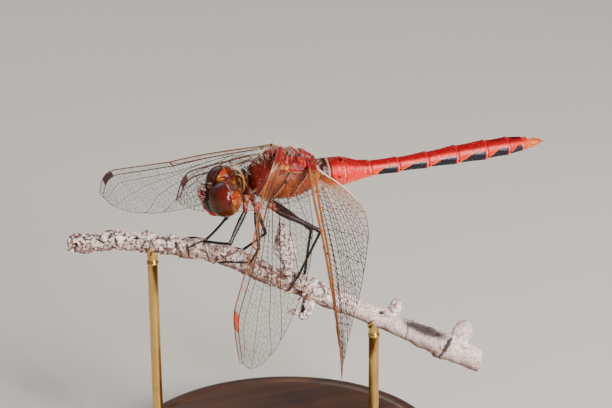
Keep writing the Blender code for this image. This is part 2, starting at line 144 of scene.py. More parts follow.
INK = Palette()


# ---------------------------------------------------------------- numbers and shapes


def smooth(value: Array, low: float, high: float) -> Array:
    """A ramp from 0 at low to 1 at high with level ends (3t squared minus 2t cubed)."""
    t = np.clip((np.asarray(value, float) - low) / (high - low), 0.0, 1.0)
    return t * t * (3.0 - 2.0 * t)


def fall(value: Array, low: float, high: float) -> Array:
    """The ramp turned over: from 1 at low to 0 at high."""
    return 1.0 - smooth(value, low, high)


def hump(value: Array, centre: float, width: float) -> Array:
    """A bell of height 1 round the centre, e to the minus of the squared distance in widths."""
    return np.exp(-(((np.asarray(value, float) - centre) / width) ** 2))


def soft_line(value: Array, stations: Row, heights: Row, reach: float) -> Array:
    """Straight runs between stations, eased by averaging over the reach each way.

    Args:
        value: where the line is read.
        stations: the places of its given heights, rising.
        heights: the heights there.
        reach: how far each way the averaging goes.

    Returns:
        The eased heights at each value.
    """
    offsets = np.linspace(-reach, reach, 9)
    weights = 1.0 + np.cos(np.pi * offsets / (reach * 1.25))
    read = np.interp(np.asarray(value, float)[..., None] + offsets, stations, heights)
    return (read * weights).sum(axis=-1) / weights.sum()


def coats(base: Row, *layers: tuple[Row, Array | float]) -> Array:
    """Lays colours one over another.

    Args:
        base: the colours underneath.
        layers: each further colour, and its share from 0 to 1 at each point.

    Returns:
        The colours at each point.
    """
    for colour, share in layers:
        base = base + (np.asarray(colour) - base) * np.clip(share, 0.0, 1.0)[..., None]
    return base


def unit(vectors: Array) -> Array:
    """Each vector's direction."""
    return vectors / np.maximum(np.linalg.norm(vectors, axis=-1, keepdims=True), 1e-9)


def axes(points: Array) -> Array:
    """The x, the y and the z of points, each as an array."""
    return np.moveaxis(points, -1, 0)


def grid(rows: Array, columns: Array) -> list[Array]:
    """Each row's value and each column's value, at every point of a grid."""
    return np.meshgrid(rows, columns, indexing="ij")


def turns(count: int) -> Array:
    """Angles evenly round a circle."""
    return np.linspace(0.0, 2.0 * np.pi, count, endpoint=False)


def line_between(start: Array, end: Array, run: Array) -> Array:
    """Points on a straight line, by their shares of its length."""
    return start + (end - start) * run[:, None]


@dataclass
class Noise:
    """Smooth random values in space, read from a repeating lattice of random numbers."""

    seed: int
    size: int = 32
    lattice: Array = field(init=False)

    def __post_init__(self) -> None:
        """Draws the lattice."""
        self.lattice = np.random.default_rng(self.seed).uniform(-1.0, 1.0, (self.size,) * 3)

    def at(self, points: Array, grain: float) -> Array:
        """Reads the lattice between its nodes, with an eased blend along each axis.

        Args:
            points: places in millimetres.
            grain: the distance between two nodes in millimetres.

        Returns:
            A value from -1 to 1 for each point.
        """
        place = np.asarray(points, float) / grain + 100.0
        cell = np.floor(place).astype(int)
        part = place - cell
        part = part * part * (3.0 - 2.0 * part)
        total = np.zeros(place.shape[:-1])
        for corner in np.ndindex(2, 2, 2):
            node = (cell + corner) % self.size
            weight = np.prod(np.where(np.array(corner) == 1, part, 1.0 - part), axis=-1)
            total += weight * self.lattice[tuple(axes(node))]
        return total

    def layered(self, points: Array, grain: float, layers: int = 3) -> Array:
        """Sums the noise at halving grains and heights."""
        shares = 0.5 ** np.arange(layers)
        return sum(s * self.at(points, grain * s) for s in shares) / shares.sum()


NOISE = Noise(Seed.LATTICE)


def grid_faces(rows: int, columns: int) -> Array:
    """Four-sided faces over rows of points, where each row is a ring.

    Args:
        rows: how many rings there are.
        columns: how many points a ring has.

    Returns:
        The corner numbers of each face.
    """
    row, column = np.arange(rows - 1)[:, None] * columns, np.arange(columns)[None, :]
    after = (column + 1) % columns
    corners = (row + column, row + columns + column, row + columns + after, row + after)
    return np.stack(corners, axis=-1).reshape(-1, 4)


@dataclass
class Pile:
    """Surfaces gathered into one mesh, with a colour, a cover and a place on the unwrap."""

    corners: list[Array] = field(default_factory=list)
    faces: list[Array] = field(default_factory=list)
    tints: list[Array] = field(default_factory=list)
    covers: list[Array] = field(default_factory=list)
    unwraps: list[Array] = field(default_factory=list)
    count: int = 0

    def add(self, points: Array, faces: list[Array], tint: Row, cover: float | Array = 1.0,
            unwrap: Array | None = None) -> None:
        """Adds one surface.

        Args:
            points: its corners in millimetres from BODY.
            faces: arrays of corner numbers, one array for each number of sides.
            tint: one colour, or one for each corner.
            cover: a number for each corner, such as how opaque or how glossy it is.
            unwrap: a flat place for each corner, from 0 to 1.
        """
        total = len(points)
        self.corners.append(points)
        self.faces += [f + self.count for f in faces]
        self.tints.append(np.broadcast_to(tint, (total, 3)))
        self.covers.append(np.broadcast_to(cover, (total,)))
        self.unwraps.append(np.zeros((total, 2)) if unwrap is None else unwrap)
        self.count += total

    def add_tube(self, rings: Array, tint: Row, cover: float | Array = 1.0) -> None:
        """Adds a closed surface through rings of points, with a pole amid each end ring.

        Args:
            rings: points by ring and by place round it.
            tint: one colour, or one for each point.
            cover: one number, or one for each point.
        """
        rows, columns = rings.shape[:2]
        tint = np.broadcast_to(tint, rings.shape)
        cover = np.broadcast_to(cover, (rows, columns))
        around = np.arange(columns)
        after = (around + 1) % columns
        total, end = rows * columns, (rows - 1) * columns
        start = np.stack([around, after, np.full(columns, total)], axis=-1)
        finish = np.stack([end + after, end + around, np.full(columns, total + 1)], axis=-1)
        points, tints = (np.vstack([a.reshape(-1, 3), a[0].mean(axis=0), a[-1].mean(axis=0)])
                         for a in (rings, tint))
        covers = np.concatenate([cover.ravel(), [cover[0].mean(), cover[-1].mean()]])
        self.add(points, [grid_faces(rows, columns), start, finish], tints, covers)

    def add_leaf(self, top: Array, below: Array, tint: Array, cover: float | Array) -> None:
        """Adds a thin closed sheet.

        Args:
            top: its upper side, as a grid of points.
            below: its lower side.
            tint: the colour of each point.
            cover: one number, or one for each point.
        """
        cover = np.broadcast_to(cover, top.shape[:2])
        self.add_tube(*(np.concatenate([upper, lower[:, ::-1]], axis=1)
                        for upper, lower in ((top, below), (tint, tint), (cover, cover))))

    def make(self, name: str, finish: Finish, nodes: tuple[str, ...] = (),
             coat: bool = False) -> None:
        """Turns the pile into a finished piece that rides on the body.

        Args:
            name: the piece's name.
            finish: what it is dressed in.
            nodes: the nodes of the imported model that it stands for.
            coat: whether its places on the unwrap are kept as the coat's map.
        """
        mesh = bpy.data.meshes.new(name)
        corners = (np.vstack(self.corners) + BODY) * MM
        sizes = np.concatenate([np.full(len(f), f.shape[1]) for f in self.faces])
        loops = np.concatenate([f.ravel() for f in self.faces])
        mesh.vertices.add(len(corners))
        mesh.vertices.foreach_set("co", corners.ravel())
        mesh.loops.add(len(loops))
        mesh.loops.foreach_set("vertex_index", loops)
        mesh.polygons.add(len(sizes))
        mesh.polygons.foreach_set("loop_start", np.concatenate([[0], np.cumsum(sizes)[:-1]]))
        mesh.update(calc_edges=True)
        shell = bmesh.new()
        shell.from_mesh(mesh)
        bmesh.ops.recalc_face_normals(shell, faces=shell.faces)
        shell.to_mesh(mesh)
        shell.free()
        colours = np.column_stack([np.vstack(self.tints), np.ones(len(corners))])
        tint = mesh.attributes.new("tint", "FLOAT_COLOR", "POINT")
        tint.data.foreach_set("color", np.clip(colours, 0.0, 1.0).ravel())
        cover = mesh.attributes.new("cover", "FLOAT", "POINT")
        cover.data.foreach_set("value", np.concatenate(self.covers))
        if coat:
            layer = mesh.uv_layers.new(name="OFBake")
            mesh.loops.foreach_get("vertex_index", loops)
            layer.data.foreach_set("uv", np.vstack(self.unwraps)[loops].ravel())
        mesh.shade_smooth()
        mesh.materials.append(finish.material())
        piece = bpy.data.objects.new(name, mesh)
        bpy.context.scene.collection.objects.link(piece)
        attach(piece, ROOT)
        if nodes:
            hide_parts(*nodes)
        log.info("%s: %d triangles", name, (sizes - 2).sum())


def rings_along(path: Array, radii: Array, sides: int, reference: Array = UP,
                ribs: tuple[int, float] = (0, 0.0)) -> Array:
    """Rings of points round a path, as middle + radius x (cos a across + sin a up).

    Args:
        path: the middle line.
        radii: the radius at each of its points.
        sides: how many points a ring has.
        reference: a direction that the path never follows.
        ribs: how many ribs run along it, and their height as a share of the radius.

    Returns:
        Points by ring and by place round it.
    """
    along = unit(np.gradient(path, axis=0))
    across = unit(np.cross(along, reference))
    upward = np.cross(across, along)
    angle = turns(sides)
    ribbed = radii[:, None] * (1.0 + ribs[1] * np.cos(ribs[0] * angle))
    return (path[:, None, :] + (ribbed * np.cos(angle))[..., None] * across[:, None, :]
            + (ribbed * np.sin(angle))[..., None] * upward[:, None, :])


def ball(centre: Row, radii: Row, rows: int, columns: int,
         axis: int = 0) -> tuple[Array, Array]:
    """An ellipsoid as rings from pole to pole, and the direction of each of its points.

    Each point is centre + radii x (cos v on the axis, sin v cos u and sin v sin u on the others).

    Args:
        centre: its middle.
        radii: its three radii.
        rows: how many rings it has.
        columns: how many points a ring has.
        axis: which of its axes joins the poles.

    Returns:
        The points, and their directions from the middle on a ball of radius 1.
    """
    polar = np.linspace(0.0, np.pi, rows + 2)[1:-1, None]
    turn = turns(columns)[None, :]
    parts = (np.cos(polar) * np.ones_like(turn), np.sin(polar) * np.cos(turn),
             np.sin(polar) * np.sin(turn))
    direction = np.stack([parts[(k - axis) % 3] for k in range(3)], axis=-1)
    return np.asarray(centre) + direction * np.asarray(radii), direction


def straws(pile: Pile, starts: Array, ends: Array, radii: Array | float, tint: Row,
           bow: Array | float = 0.0, unwrap: Array | None = None,
           tip_share: float = 0.12) -> None:
    """Adds many thin three-sided spikes, each bent once at its middle and tapering to its tip.

    Args:
        pile: what they are added to.
        starts: their roots.
        ends: their tips.
        radii: the radius at each root.
        tint: one colour, or one for each spike.
        bow: how far each middle is moved off the straight line.
        unwrap: the flat place of each root.
        tip_share: the tip's radius as a share of the root's.
    """
    count = len(starts)
    along = unit(ends - starts)
    across = unit(np.cross(along, np.where(np.abs(along[:, 2:3]) < 0.9, UP, SIDEWAYS)))
    upward = np.cross(across, along)
    angle = np.radians([90.0, 210.0, 330.0])
    ring = (np.cos(angle)[None, :, None] * across[:, None, :]
            + np.sin(angle)[None, :, None] * upward[:, None, :])
    width = np.asarray(radii, float).reshape(-1, 1, 1) * np.ones((count, 1, 1))
    levels = [base[:, None, :] + ring * width * share for base, share in (
        (starts, 1.0), ((starts + ends) / 2.0 + bow, 0.75), (ends, tip_share))]
    first = (np.arange(count) * SPIKE_CORNERS)[:, None, None]
    quads = np.array([[a + 3 * k, a + 3 * k + 3, (a + 1) % 3 + 3 * k + 3, (a + 1) % 3 + 3 * k]
                      for k in (0, 1) for a in range(3)])
    caps = np.array([[0, 1, 2], [8, 7, 6]])
    tints = np.broadcast_to(np.reshape(tint, (-1, 1, 3)), (count, SPIKE_CORNERS, 3))
    if unwrap is not None:
        local = np.array([[a / 3.0, k / 2.0] for k in range(3) for a in range(3)])
        unwrap = (unwrap[:, None, :] + TUFT_PATCH * local).reshape(-1, 2)
    pile.add(np.stack(levels, axis=1).reshape(-1, 3),
             [(quads + first).reshape(-1, 4), (caps + first).reshape(-1, 3)],
             tints.reshape(-1, 3), 1.0, unwrap)


def grid_normals(points: Array, centre: Array) -> Array:
    """Directions out of a grid of points, turned away from a centre line.

    Args:
        points: the grid.
        centre: the middle of each point's ring.

    Returns:
        The directions.
    """
    round_it = np.roll(points, -1, axis=1) - np.roll(points, 1, axis=1)
    normal = unit(np.cross(np.gradient(points, axis=0), round_it))
    outward = ((points - centre) * normal).sum(axis=-1, keepdims=True)
    return normal * np.where(outward < 0.0, -1.0, 1.0)


# ---------------------------------------------------------------- finishes


class Bench:
    """A material's nodes, with short ways to add and join them."""

    def __init__(self, tree: bpy.types.NodeTree) -> None:
        """Works on one node tree."""
        self.tree = tree

    def feed(self, node: bpy.types.Node, inputs: dict[str | int, Feed]) -> None:
        """Feeds a node's inputs.

        Args:
            node: the node.
            inputs: what each input gets: a socket is joined, and anything else is set.
        """
        for name, value in inputs.items():
            if isinstance(value, Socket):
                self.tree.links.new(value, node.inputs[name])
            else:
                node.inputs[name].default_value = value

    def node(self, kind: str, inputs: dict[str | int, Feed] | None = None,
             **settings: object) -> bpy.types.Node:
        """Adds a node.

        Args:
            kind: its kind, without ShaderNode in front.
            inputs: what its inputs get.
            settings: its settings.

        Returns:
            The node.
        """
        made = self.tree.nodes.new("ShaderNode" + kind)
        for name, value in settings.items():
            setattr(made, name, value)
        self.feed(made, inputs or {})
        return made

    def math(self, operation: str, first: Feed, second: Feed) -> Socket:
        """A sum of two numbers or sockets."""
        return self.node("Math", {0: first, 1: second}, operation=operation).outputs[0]

    def ramp(self, value: Socket, span: tuple[float, float], bottom: Feed, top: Feed) -> Socket:
        """Maps a value's span to the range from bottom to top."""
        return self.node("MapRange", {"Value": value, "From Min": span[0], "From Max": span[1],
                                      "To Min": bottom, "To Max": top}).outputs["Result"]

    def place(self) -> Socket:
        """The place of a point, in metres."""
        return self.node("TexCoord").outputs["Object"]

    def painted(self) -> Socket:
        """The colour painted on the mesh."""
        return self.node("Attribute", attribute_name="tint").outputs["Color"]

    def cover(self) -> Socket:
        """The cover painted on the mesh."""
        return self.node("Attribute", attribute_name="cover").outputs["Fac"]

    def clouded(self, colour: Feed, grain: float, depth: float) -> Sockets:
        """A colour made uneven: its Color and its Cloud, with a grain in millimetres."""
        return self.node("Group", {"Color": colour, "Scale": per_mm(grain), "Depth": depth},
                         node_tree=mottle_group()).outputs

    def pits(self, grain: float, crumple: float) -> Socket:
        """The height of close-set pits, with a grain in millimetres."""
        return self.node("Group", {"Scale": per_mm(grain), "Crumple": crumple},
                         node_tree=pits_group()).outputs["Height"]

    def streaks(self, grain: float, along_x: float, along_z: float) -> Socket:
        """Streaks with a grain in millimetres; a small number makes them long on that axis."""
        return self.node("Group", {"Scale": per_mm(grain), "Along X": along_x,
                                   "Along Z": along_z}, node_tree=streaks_group()).outputs["Value"]

    def relief(self, height: Socket, depth: float) -> Socket:
        """The normal of a height whose full depth is given in millimetres."""
        return self.node("Bump", {"Strength": 1.0, "Distance": depth * MM,
                                  "Height": height}).outputs["Normal"]


def per_mm(grain: float) -> float:
    """The texture scale, per metre, that gives a grain in millimetres."""
    return 1.0 / (grain * MM)


def new_group(name: str, inputs: tuple[str, ...],
              outputs: tuple[str, ...]) -> tuple[Bench, Sockets, bpy.types.Node]:
    """An empty node group. A socket named Color carries a colour, and the others carry values.

    Args:
        name: the group's name.
        inputs: names of the input sockets.
        outputs: names of the output sockets.

    Returns:
        The group's bench, the sockets that come in, and its output node.
    """
    tree = bpy.data.node_groups.new(name, "ShaderNodeTree")
    for side, names in (("INPUT", inputs), ("OUTPUT", outputs)):
        for socket in names:
            kind = "NodeSocketColor" if socket == "Color" else "NodeSocketFloat"
            tree.interface.new_socket(socket, in_out=side, socket_type=kind)
    start, end = (tree.nodes.new(kind) for kind in ("NodeGroupInput", "NodeGroupOutput"))
    return Bench(tree), start.outputs, end


@cache
def mottle_group() -> bpy.types.NodeTree:
    """Uneven colour: cloudy noise lightens and darkens what comes in.

    Returns:
        The node group.
    """
    bench, start, end = new_group("Mottle", ("Color", "Scale", "Depth"), ("Color", "Cloud"))
    cloud = bench.node("TexNoise", {"Vector": bench.place(), "Scale": start["Scale"],
                                    "Detail": 5.0, "Roughness": 0.62}).outputs["Fac"]
    level = bench.ramp(cloud, CLOUD, bench.math("SUBTRACT", 1.0, start["Depth"]),
                       bench.math("ADD", 1.0, start["Depth"]))
    shade = bench.node("HueSaturation", {"Color": start["Color"], "Value": level})
    bench.feed(end, {"Color": shade.outputs["Color"], "Cloud": cloud})
    return bench.tree


@cache
def pits_group() -> bpy.types.NodeTree:
    """A height of close-set round pits or facets over a faint crumple.

    Returns:
        The node group.
    """
    bench, start, end = new_group("Pits", ("Scale", "Crumple"), ("Height",))
    place = bench.place()
    cells = bench.node("TexVoronoi", {"Vector": place, "Scale": start["Scale"]}, feature="F1")
    slower = bench.math("MULTIPLY", start["Scale"], 0.35)
    crumple = bench.node("TexNoise", {"Vector": place, "Scale": slower, "Detail": 4.0})
    folded = bench.math("MULTIPLY", crumple.outputs["Fac"], start["Crumple"])
    bench.feed(end, {"Height": bench.math("SUBTRACT", folded, cells.outputs["Distance"])})
    return bench.tree


@cache
def streaks_group() -> bpy.types.NodeTree:
    """Long fine streaks: noise that is stretched along X or along Z.

    Returns:
        The node group.
    """
    bench, start, end = new_group("Streaks", ("Scale", "Along X", "Along Z"), ("Value",))
    stretch = bench.node("CombineXYZ", {"X": start["Along X"], "Y": 1.0, "Z": start["Along Z"]})
    scaled = bench.node("VectorMath", {0: bench.place(), 1: stretch.outputs["Vector"]},
                        operation="MULTIPLY")
    noise = bench.node("TexNoise", {"Vector": scaled.outputs["Vector"], "Scale": start["Scale"],
                                    "Detail": 6.0, "Roughness": 0.65, "Distortion": 0.4})
    bench.feed(end, {"Value": noise.outputs["Fac"]})
    return bench.tree


@dataclass(frozen=True)
class Finish:
    """What every finish has: a name, and a Principled shader that is built once."""

    name: str

    def material(self) -> bpy.types.Material:
        """The finish's material, made the first time it is asked for.

        Returns:
            The material.
        """
        made = bpy.data.materials.get(self.name)
        if made is None:
            made = bpy.data.materials.new(self.name)
            made.use_nodes = True
            bench = Bench(made.node_tree)
            bench.feed(made.node_tree.nodes["Principled BSDF"], self.inputs(bench))
        return made

    def inputs(self, bench: Bench) -> dict[str, Feed]:
        """What the shader's inputs get.

        Args:
            bench: the material's nodes.

        Returns:
            A socket or a constant for each input, by its name.
        """
        raise NotImplementedError


@dataclass(frozen=True)
class Cuticle(Finish):
    """Insect shell: painted markings, cloudy and pitted, glossier where the cover is low."""

    roughness: float = 0.42
    gloss: float = 0.18
    coat: float = 0.15
    cloud_grain: float = 0.35
    cloud_depth: float = 0.22
    pit_grain: float = 0.07
    pit_depth: float = 0.006
    glow: float = 0.0
    specular: float = 0.32
    wear: float = 0.08

    def inputs(self, bench: Bench) -> dict[str, Feed]:
        """The markings, the clouding, the gloss and the pits.

        Args:
            bench: the material's nodes.

        Returns:
            A socket or a constant for each input.
        """
        shell = bench.clouded(bench.painted(), self.cloud_grain, self.cloud_depth)
        worn = bench.ramp(shell["Cloud"], CLOUD, self.roughness - self.wear,
                          self.roughness + self.wear)
        return {"Base Color": shell["Color"],
                "Roughness": bench.ramp(bench.cover(), WHOLE, self.gloss, worn),
                "Normal": bench.relief(bench.pits(self.pit_grain, 1.4), self.pit_depth),
                "Specular IOR Level": self.specular,
                "Coat Weight": self.coat, "Coat Roughness": 0.15,
                "Subsurface Weight": self.glow, "Subsurface Radius": (0.6, 0.2, 0.1),
                "Subsurface Scale": 0.4 * MM}


@dataclass(frozen=True)
class EyeGloss(Finish):
    """A compound eye: bands of colour under a clear gloss, with fine facets."""

    def inputs(self, bench: Bench) -> dict[str, Feed]:
        """The bands, the facets and the clear coat.

        Args:
            bench: the material's nodes.

        Returns:
            A socket or a constant for each input.
        """
        return {"Base Color": bench.clouded(bench.painted(), 0.5, 0.16)["Color"],
                "Roughness": bench.ramp(bench.cover(), WHOLE, 0.5, 0.26),
                "Normal": bench.relief(bench.pits(0.05, 0.2), 0.0025),
                "Specular IOR Level": 0.05, "Coat Weight": 0.5, "Coat IOR": 1.42,
                "Coat Roughness": 0.05}


@dataclass(frozen=True)
class Membrane(Finish):
    """Wing skin: clear, faintly brown and finely crinkled; its cover is its opacity."""

    def inputs(self, bench: Bench) -> dict[str, Feed]:
        """The stain, the opacity and the crinkle.

        Args:
            bench: the material's nodes.

        Returns:
            A socket or a constant for each input.
        """
        stain = bench.clouded(bench.painted(), 1.4, 0.18)
        uneven = bench.ramp(stain["Cloud"], CLOUD, 0.8, 1.2)
        return {"Base Color": stain["Color"],
                "Alpha": bench.math("MULTIPLY", bench.cover(), uneven),
                "Roughness": bench.ramp(stain["Cloud"], CLOUD, 0.12, 0.26),
                "Normal": bench.relief(bench.pits(0.55, 0.8), 0.02),
                "IOR": 1.56, "Coat Weight": 0.4, "Coat Roughness": 0.08}


@dataclass(frozen=True)
class Bark(Finish):
    """Weathered bark: the painted lichen greys, streaked and flaked along the twig."""

    def inputs(self, bench: Bench) -> dict[str, Feed]:
        """The speckle, the streaks and the flaking relief.

        Args:
            bench: the material's nodes.

        Returns:
            A socket or a constant for each input.
        """
        speckle = bench.clouded(bench.painted(), 0.15, 0.45)
        streaks = bench.streaks(0.3, 0.35, 1.0)
        shade = bench.node("HueSaturation", {
            "Color": speckle["Color"], "Value": bench.ramp(streaks, (0.34, 0.5), 0.62, 1.08)})
        flakes = bench.math("ADD", bench.pits(0.2, 2.2), streaks)
        return {"Base Color": shade.outputs["Color"],
                "Roughness": bench.ramp(speckle["Cloud"], CLOUD, 0.72, 0.95),
                "Normal": bench.relief(flakes, 0.05)}


@dataclass(frozen=True)
class TurnedWood(Finish):
    """Oiled dark wood with its grain along X and the lathe's fine rings in its relief."""

    def inputs(self, bench: Bench) -> dict[str, Feed]:
        """The grain, the pores and the oiled sheen.

        Args:
            bench: the material's nodes.

        Returns:
            A socket or a constant for each input.
        """
        grain = bench.streaks(1.3, 0.07, 0.8)
        colour = bench.node("Mix", data_type="RGBA")
        bench.feed(colour, {"A": (*INK.walnut_dark, 1.0), "B": (*INK.walnut, 1.0),
                            "Factor": bench.ramp(grain, (0.32, 0.64), 0.0, 1.0)})
        return {"Base Color": bench.clouded(colour.outputs["Result"], 6.0, 0.18)["Color"],
                "Roughness": bench.ramp(grain, CLOUD, 0.46, 0.3),
                "Normal": bench.relief(grain, 0.05), "Coat Weight": 0.25, "Coat Roughness": 0.2}


@dataclass(frozen=True)
class DrawnBrass(Finish):
    """Brass rod with drawn lines along Z and a faint tarnish."""

    def inputs(self, bench: Bench) -> dict[str, Feed]:
        """The tarnish, the drawn lines and their relief.

        Args:
            bench: the material's nodes.

        Returns:
            A socket or a constant for each input.
        """
        lines = bench.streaks(0.16, 1.0, 0.04)
        return {"Base Color": bench.clouded((*INK.brass, 1.0), 2.2, 0.16)["Color"],
                "Roughness": bench.ramp(lines, CLOUD, 0.18, 0.38),
                "Normal": bench.relief(lines, 0.006), "Metallic": 1.0}


@dataclass(frozen=True)
class Wall(Finish):
    """The plain pale surface under the model."""

    def inputs(self, bench: Bench) -> dict[str, Feed]:
        """A faint clouding of a warm off-white."""
        pale = bench.clouded((0.86, 0.83, 0.78, 1.0), 60.0, 0.015)
        return {"Base Color": pale["Color"], "Roughness": 0.9}


ABDOMEN_SHELL = Cuticle("red_abdomen_shell", roughness=0.36, gloss=0.22, coat=0.2, cloud_grain=0.3,
                        cloud_depth=0.16, pit_grain=0.06, pit_depth=0.005, glow=0.05,
                        specular=0.22)
THORAX_SHELL = Cuticle("brown_red_thorax_shell", roughness=0.5, gloss=0.3, coat=0.06,
                       cloud_grain=0.28, cloud_depth=0.32, pit_grain=0.09, pit_depth=0.012)
FACE_SHELL = Cuticle("face_shell", roughness=0.42, gloss=0.14, coat=0.06, cloud_grain=0.2,
                     cloud_depth=0.25, pit_grain=0.07, pit_depth=0.01, specular=0.22)
LEG_SHELL = Cuticle("black_leg_shell", roughness=0.36, gloss=0.2, coat=0.15, cloud_grain=0.3,
                    cloud_depth=0.2, pit_grain=0.05, pit_depth=0.004)
VEIN_SHELL = Cuticle("wing_vein_shell", roughness=0.4, gloss=0.25, coat=0.1, cloud_grain=0.5,
                     cloud_depth=0.15, pit_grain=0.05, pit_depth=0.002)
HAIR = Cuticle("pale_hair", roughness=0.48, gloss=0.3, coat=0.0, cloud_grain=0.5, cloud_depth=0.1,
               pit_grain=0.05, pit_depth=0.001)
EYE_GLASS = EyeGloss("compound_eye_gloss")
WING_SKIN = Membrane("wing_membrane_clear")
TWIG_BARK = Bark("weathered_bark")
STAND_WOOD = TurnedWood("oiled_stand_wood")
STAND_BRASS = DrawnBrass("drawn_brass")
FLOOR_PAINT = Wall("pale_floor")


# ---------------------------------------------------------------- abdomen


def body_rings(x: Array, angle: Array, middle: Array, half_width: Array, half_height: Array,
               narrowing: float) -> Array:
    """Rings of the body: width cos a, drawn in above the middle, and height sin a.

    Args:
        x: the place of each ring.
        angle: the angles round a ring.
        middle: the height of each ring's middle.
        half_width: its half width.
        half_height: its half height.
        narrowing: the share by which its top is drawn in.

    Returns:
        The points by ring and angle.
    """
    level = np.sin(angle)
    across = half_width * np.cos(angle) * (1.0 - narrowing * np.clip(level, 0.0, 1.0) ** 1.5)
    return spread(x, across, middle + half_height * level)


def spread(x: Array, y: Array, z: Array) -> Array:
    """Points from their x, y and z, each spread over the whole grid."""
    return np.stack(np.broadcast_arrays(x, y, z), axis=-1)


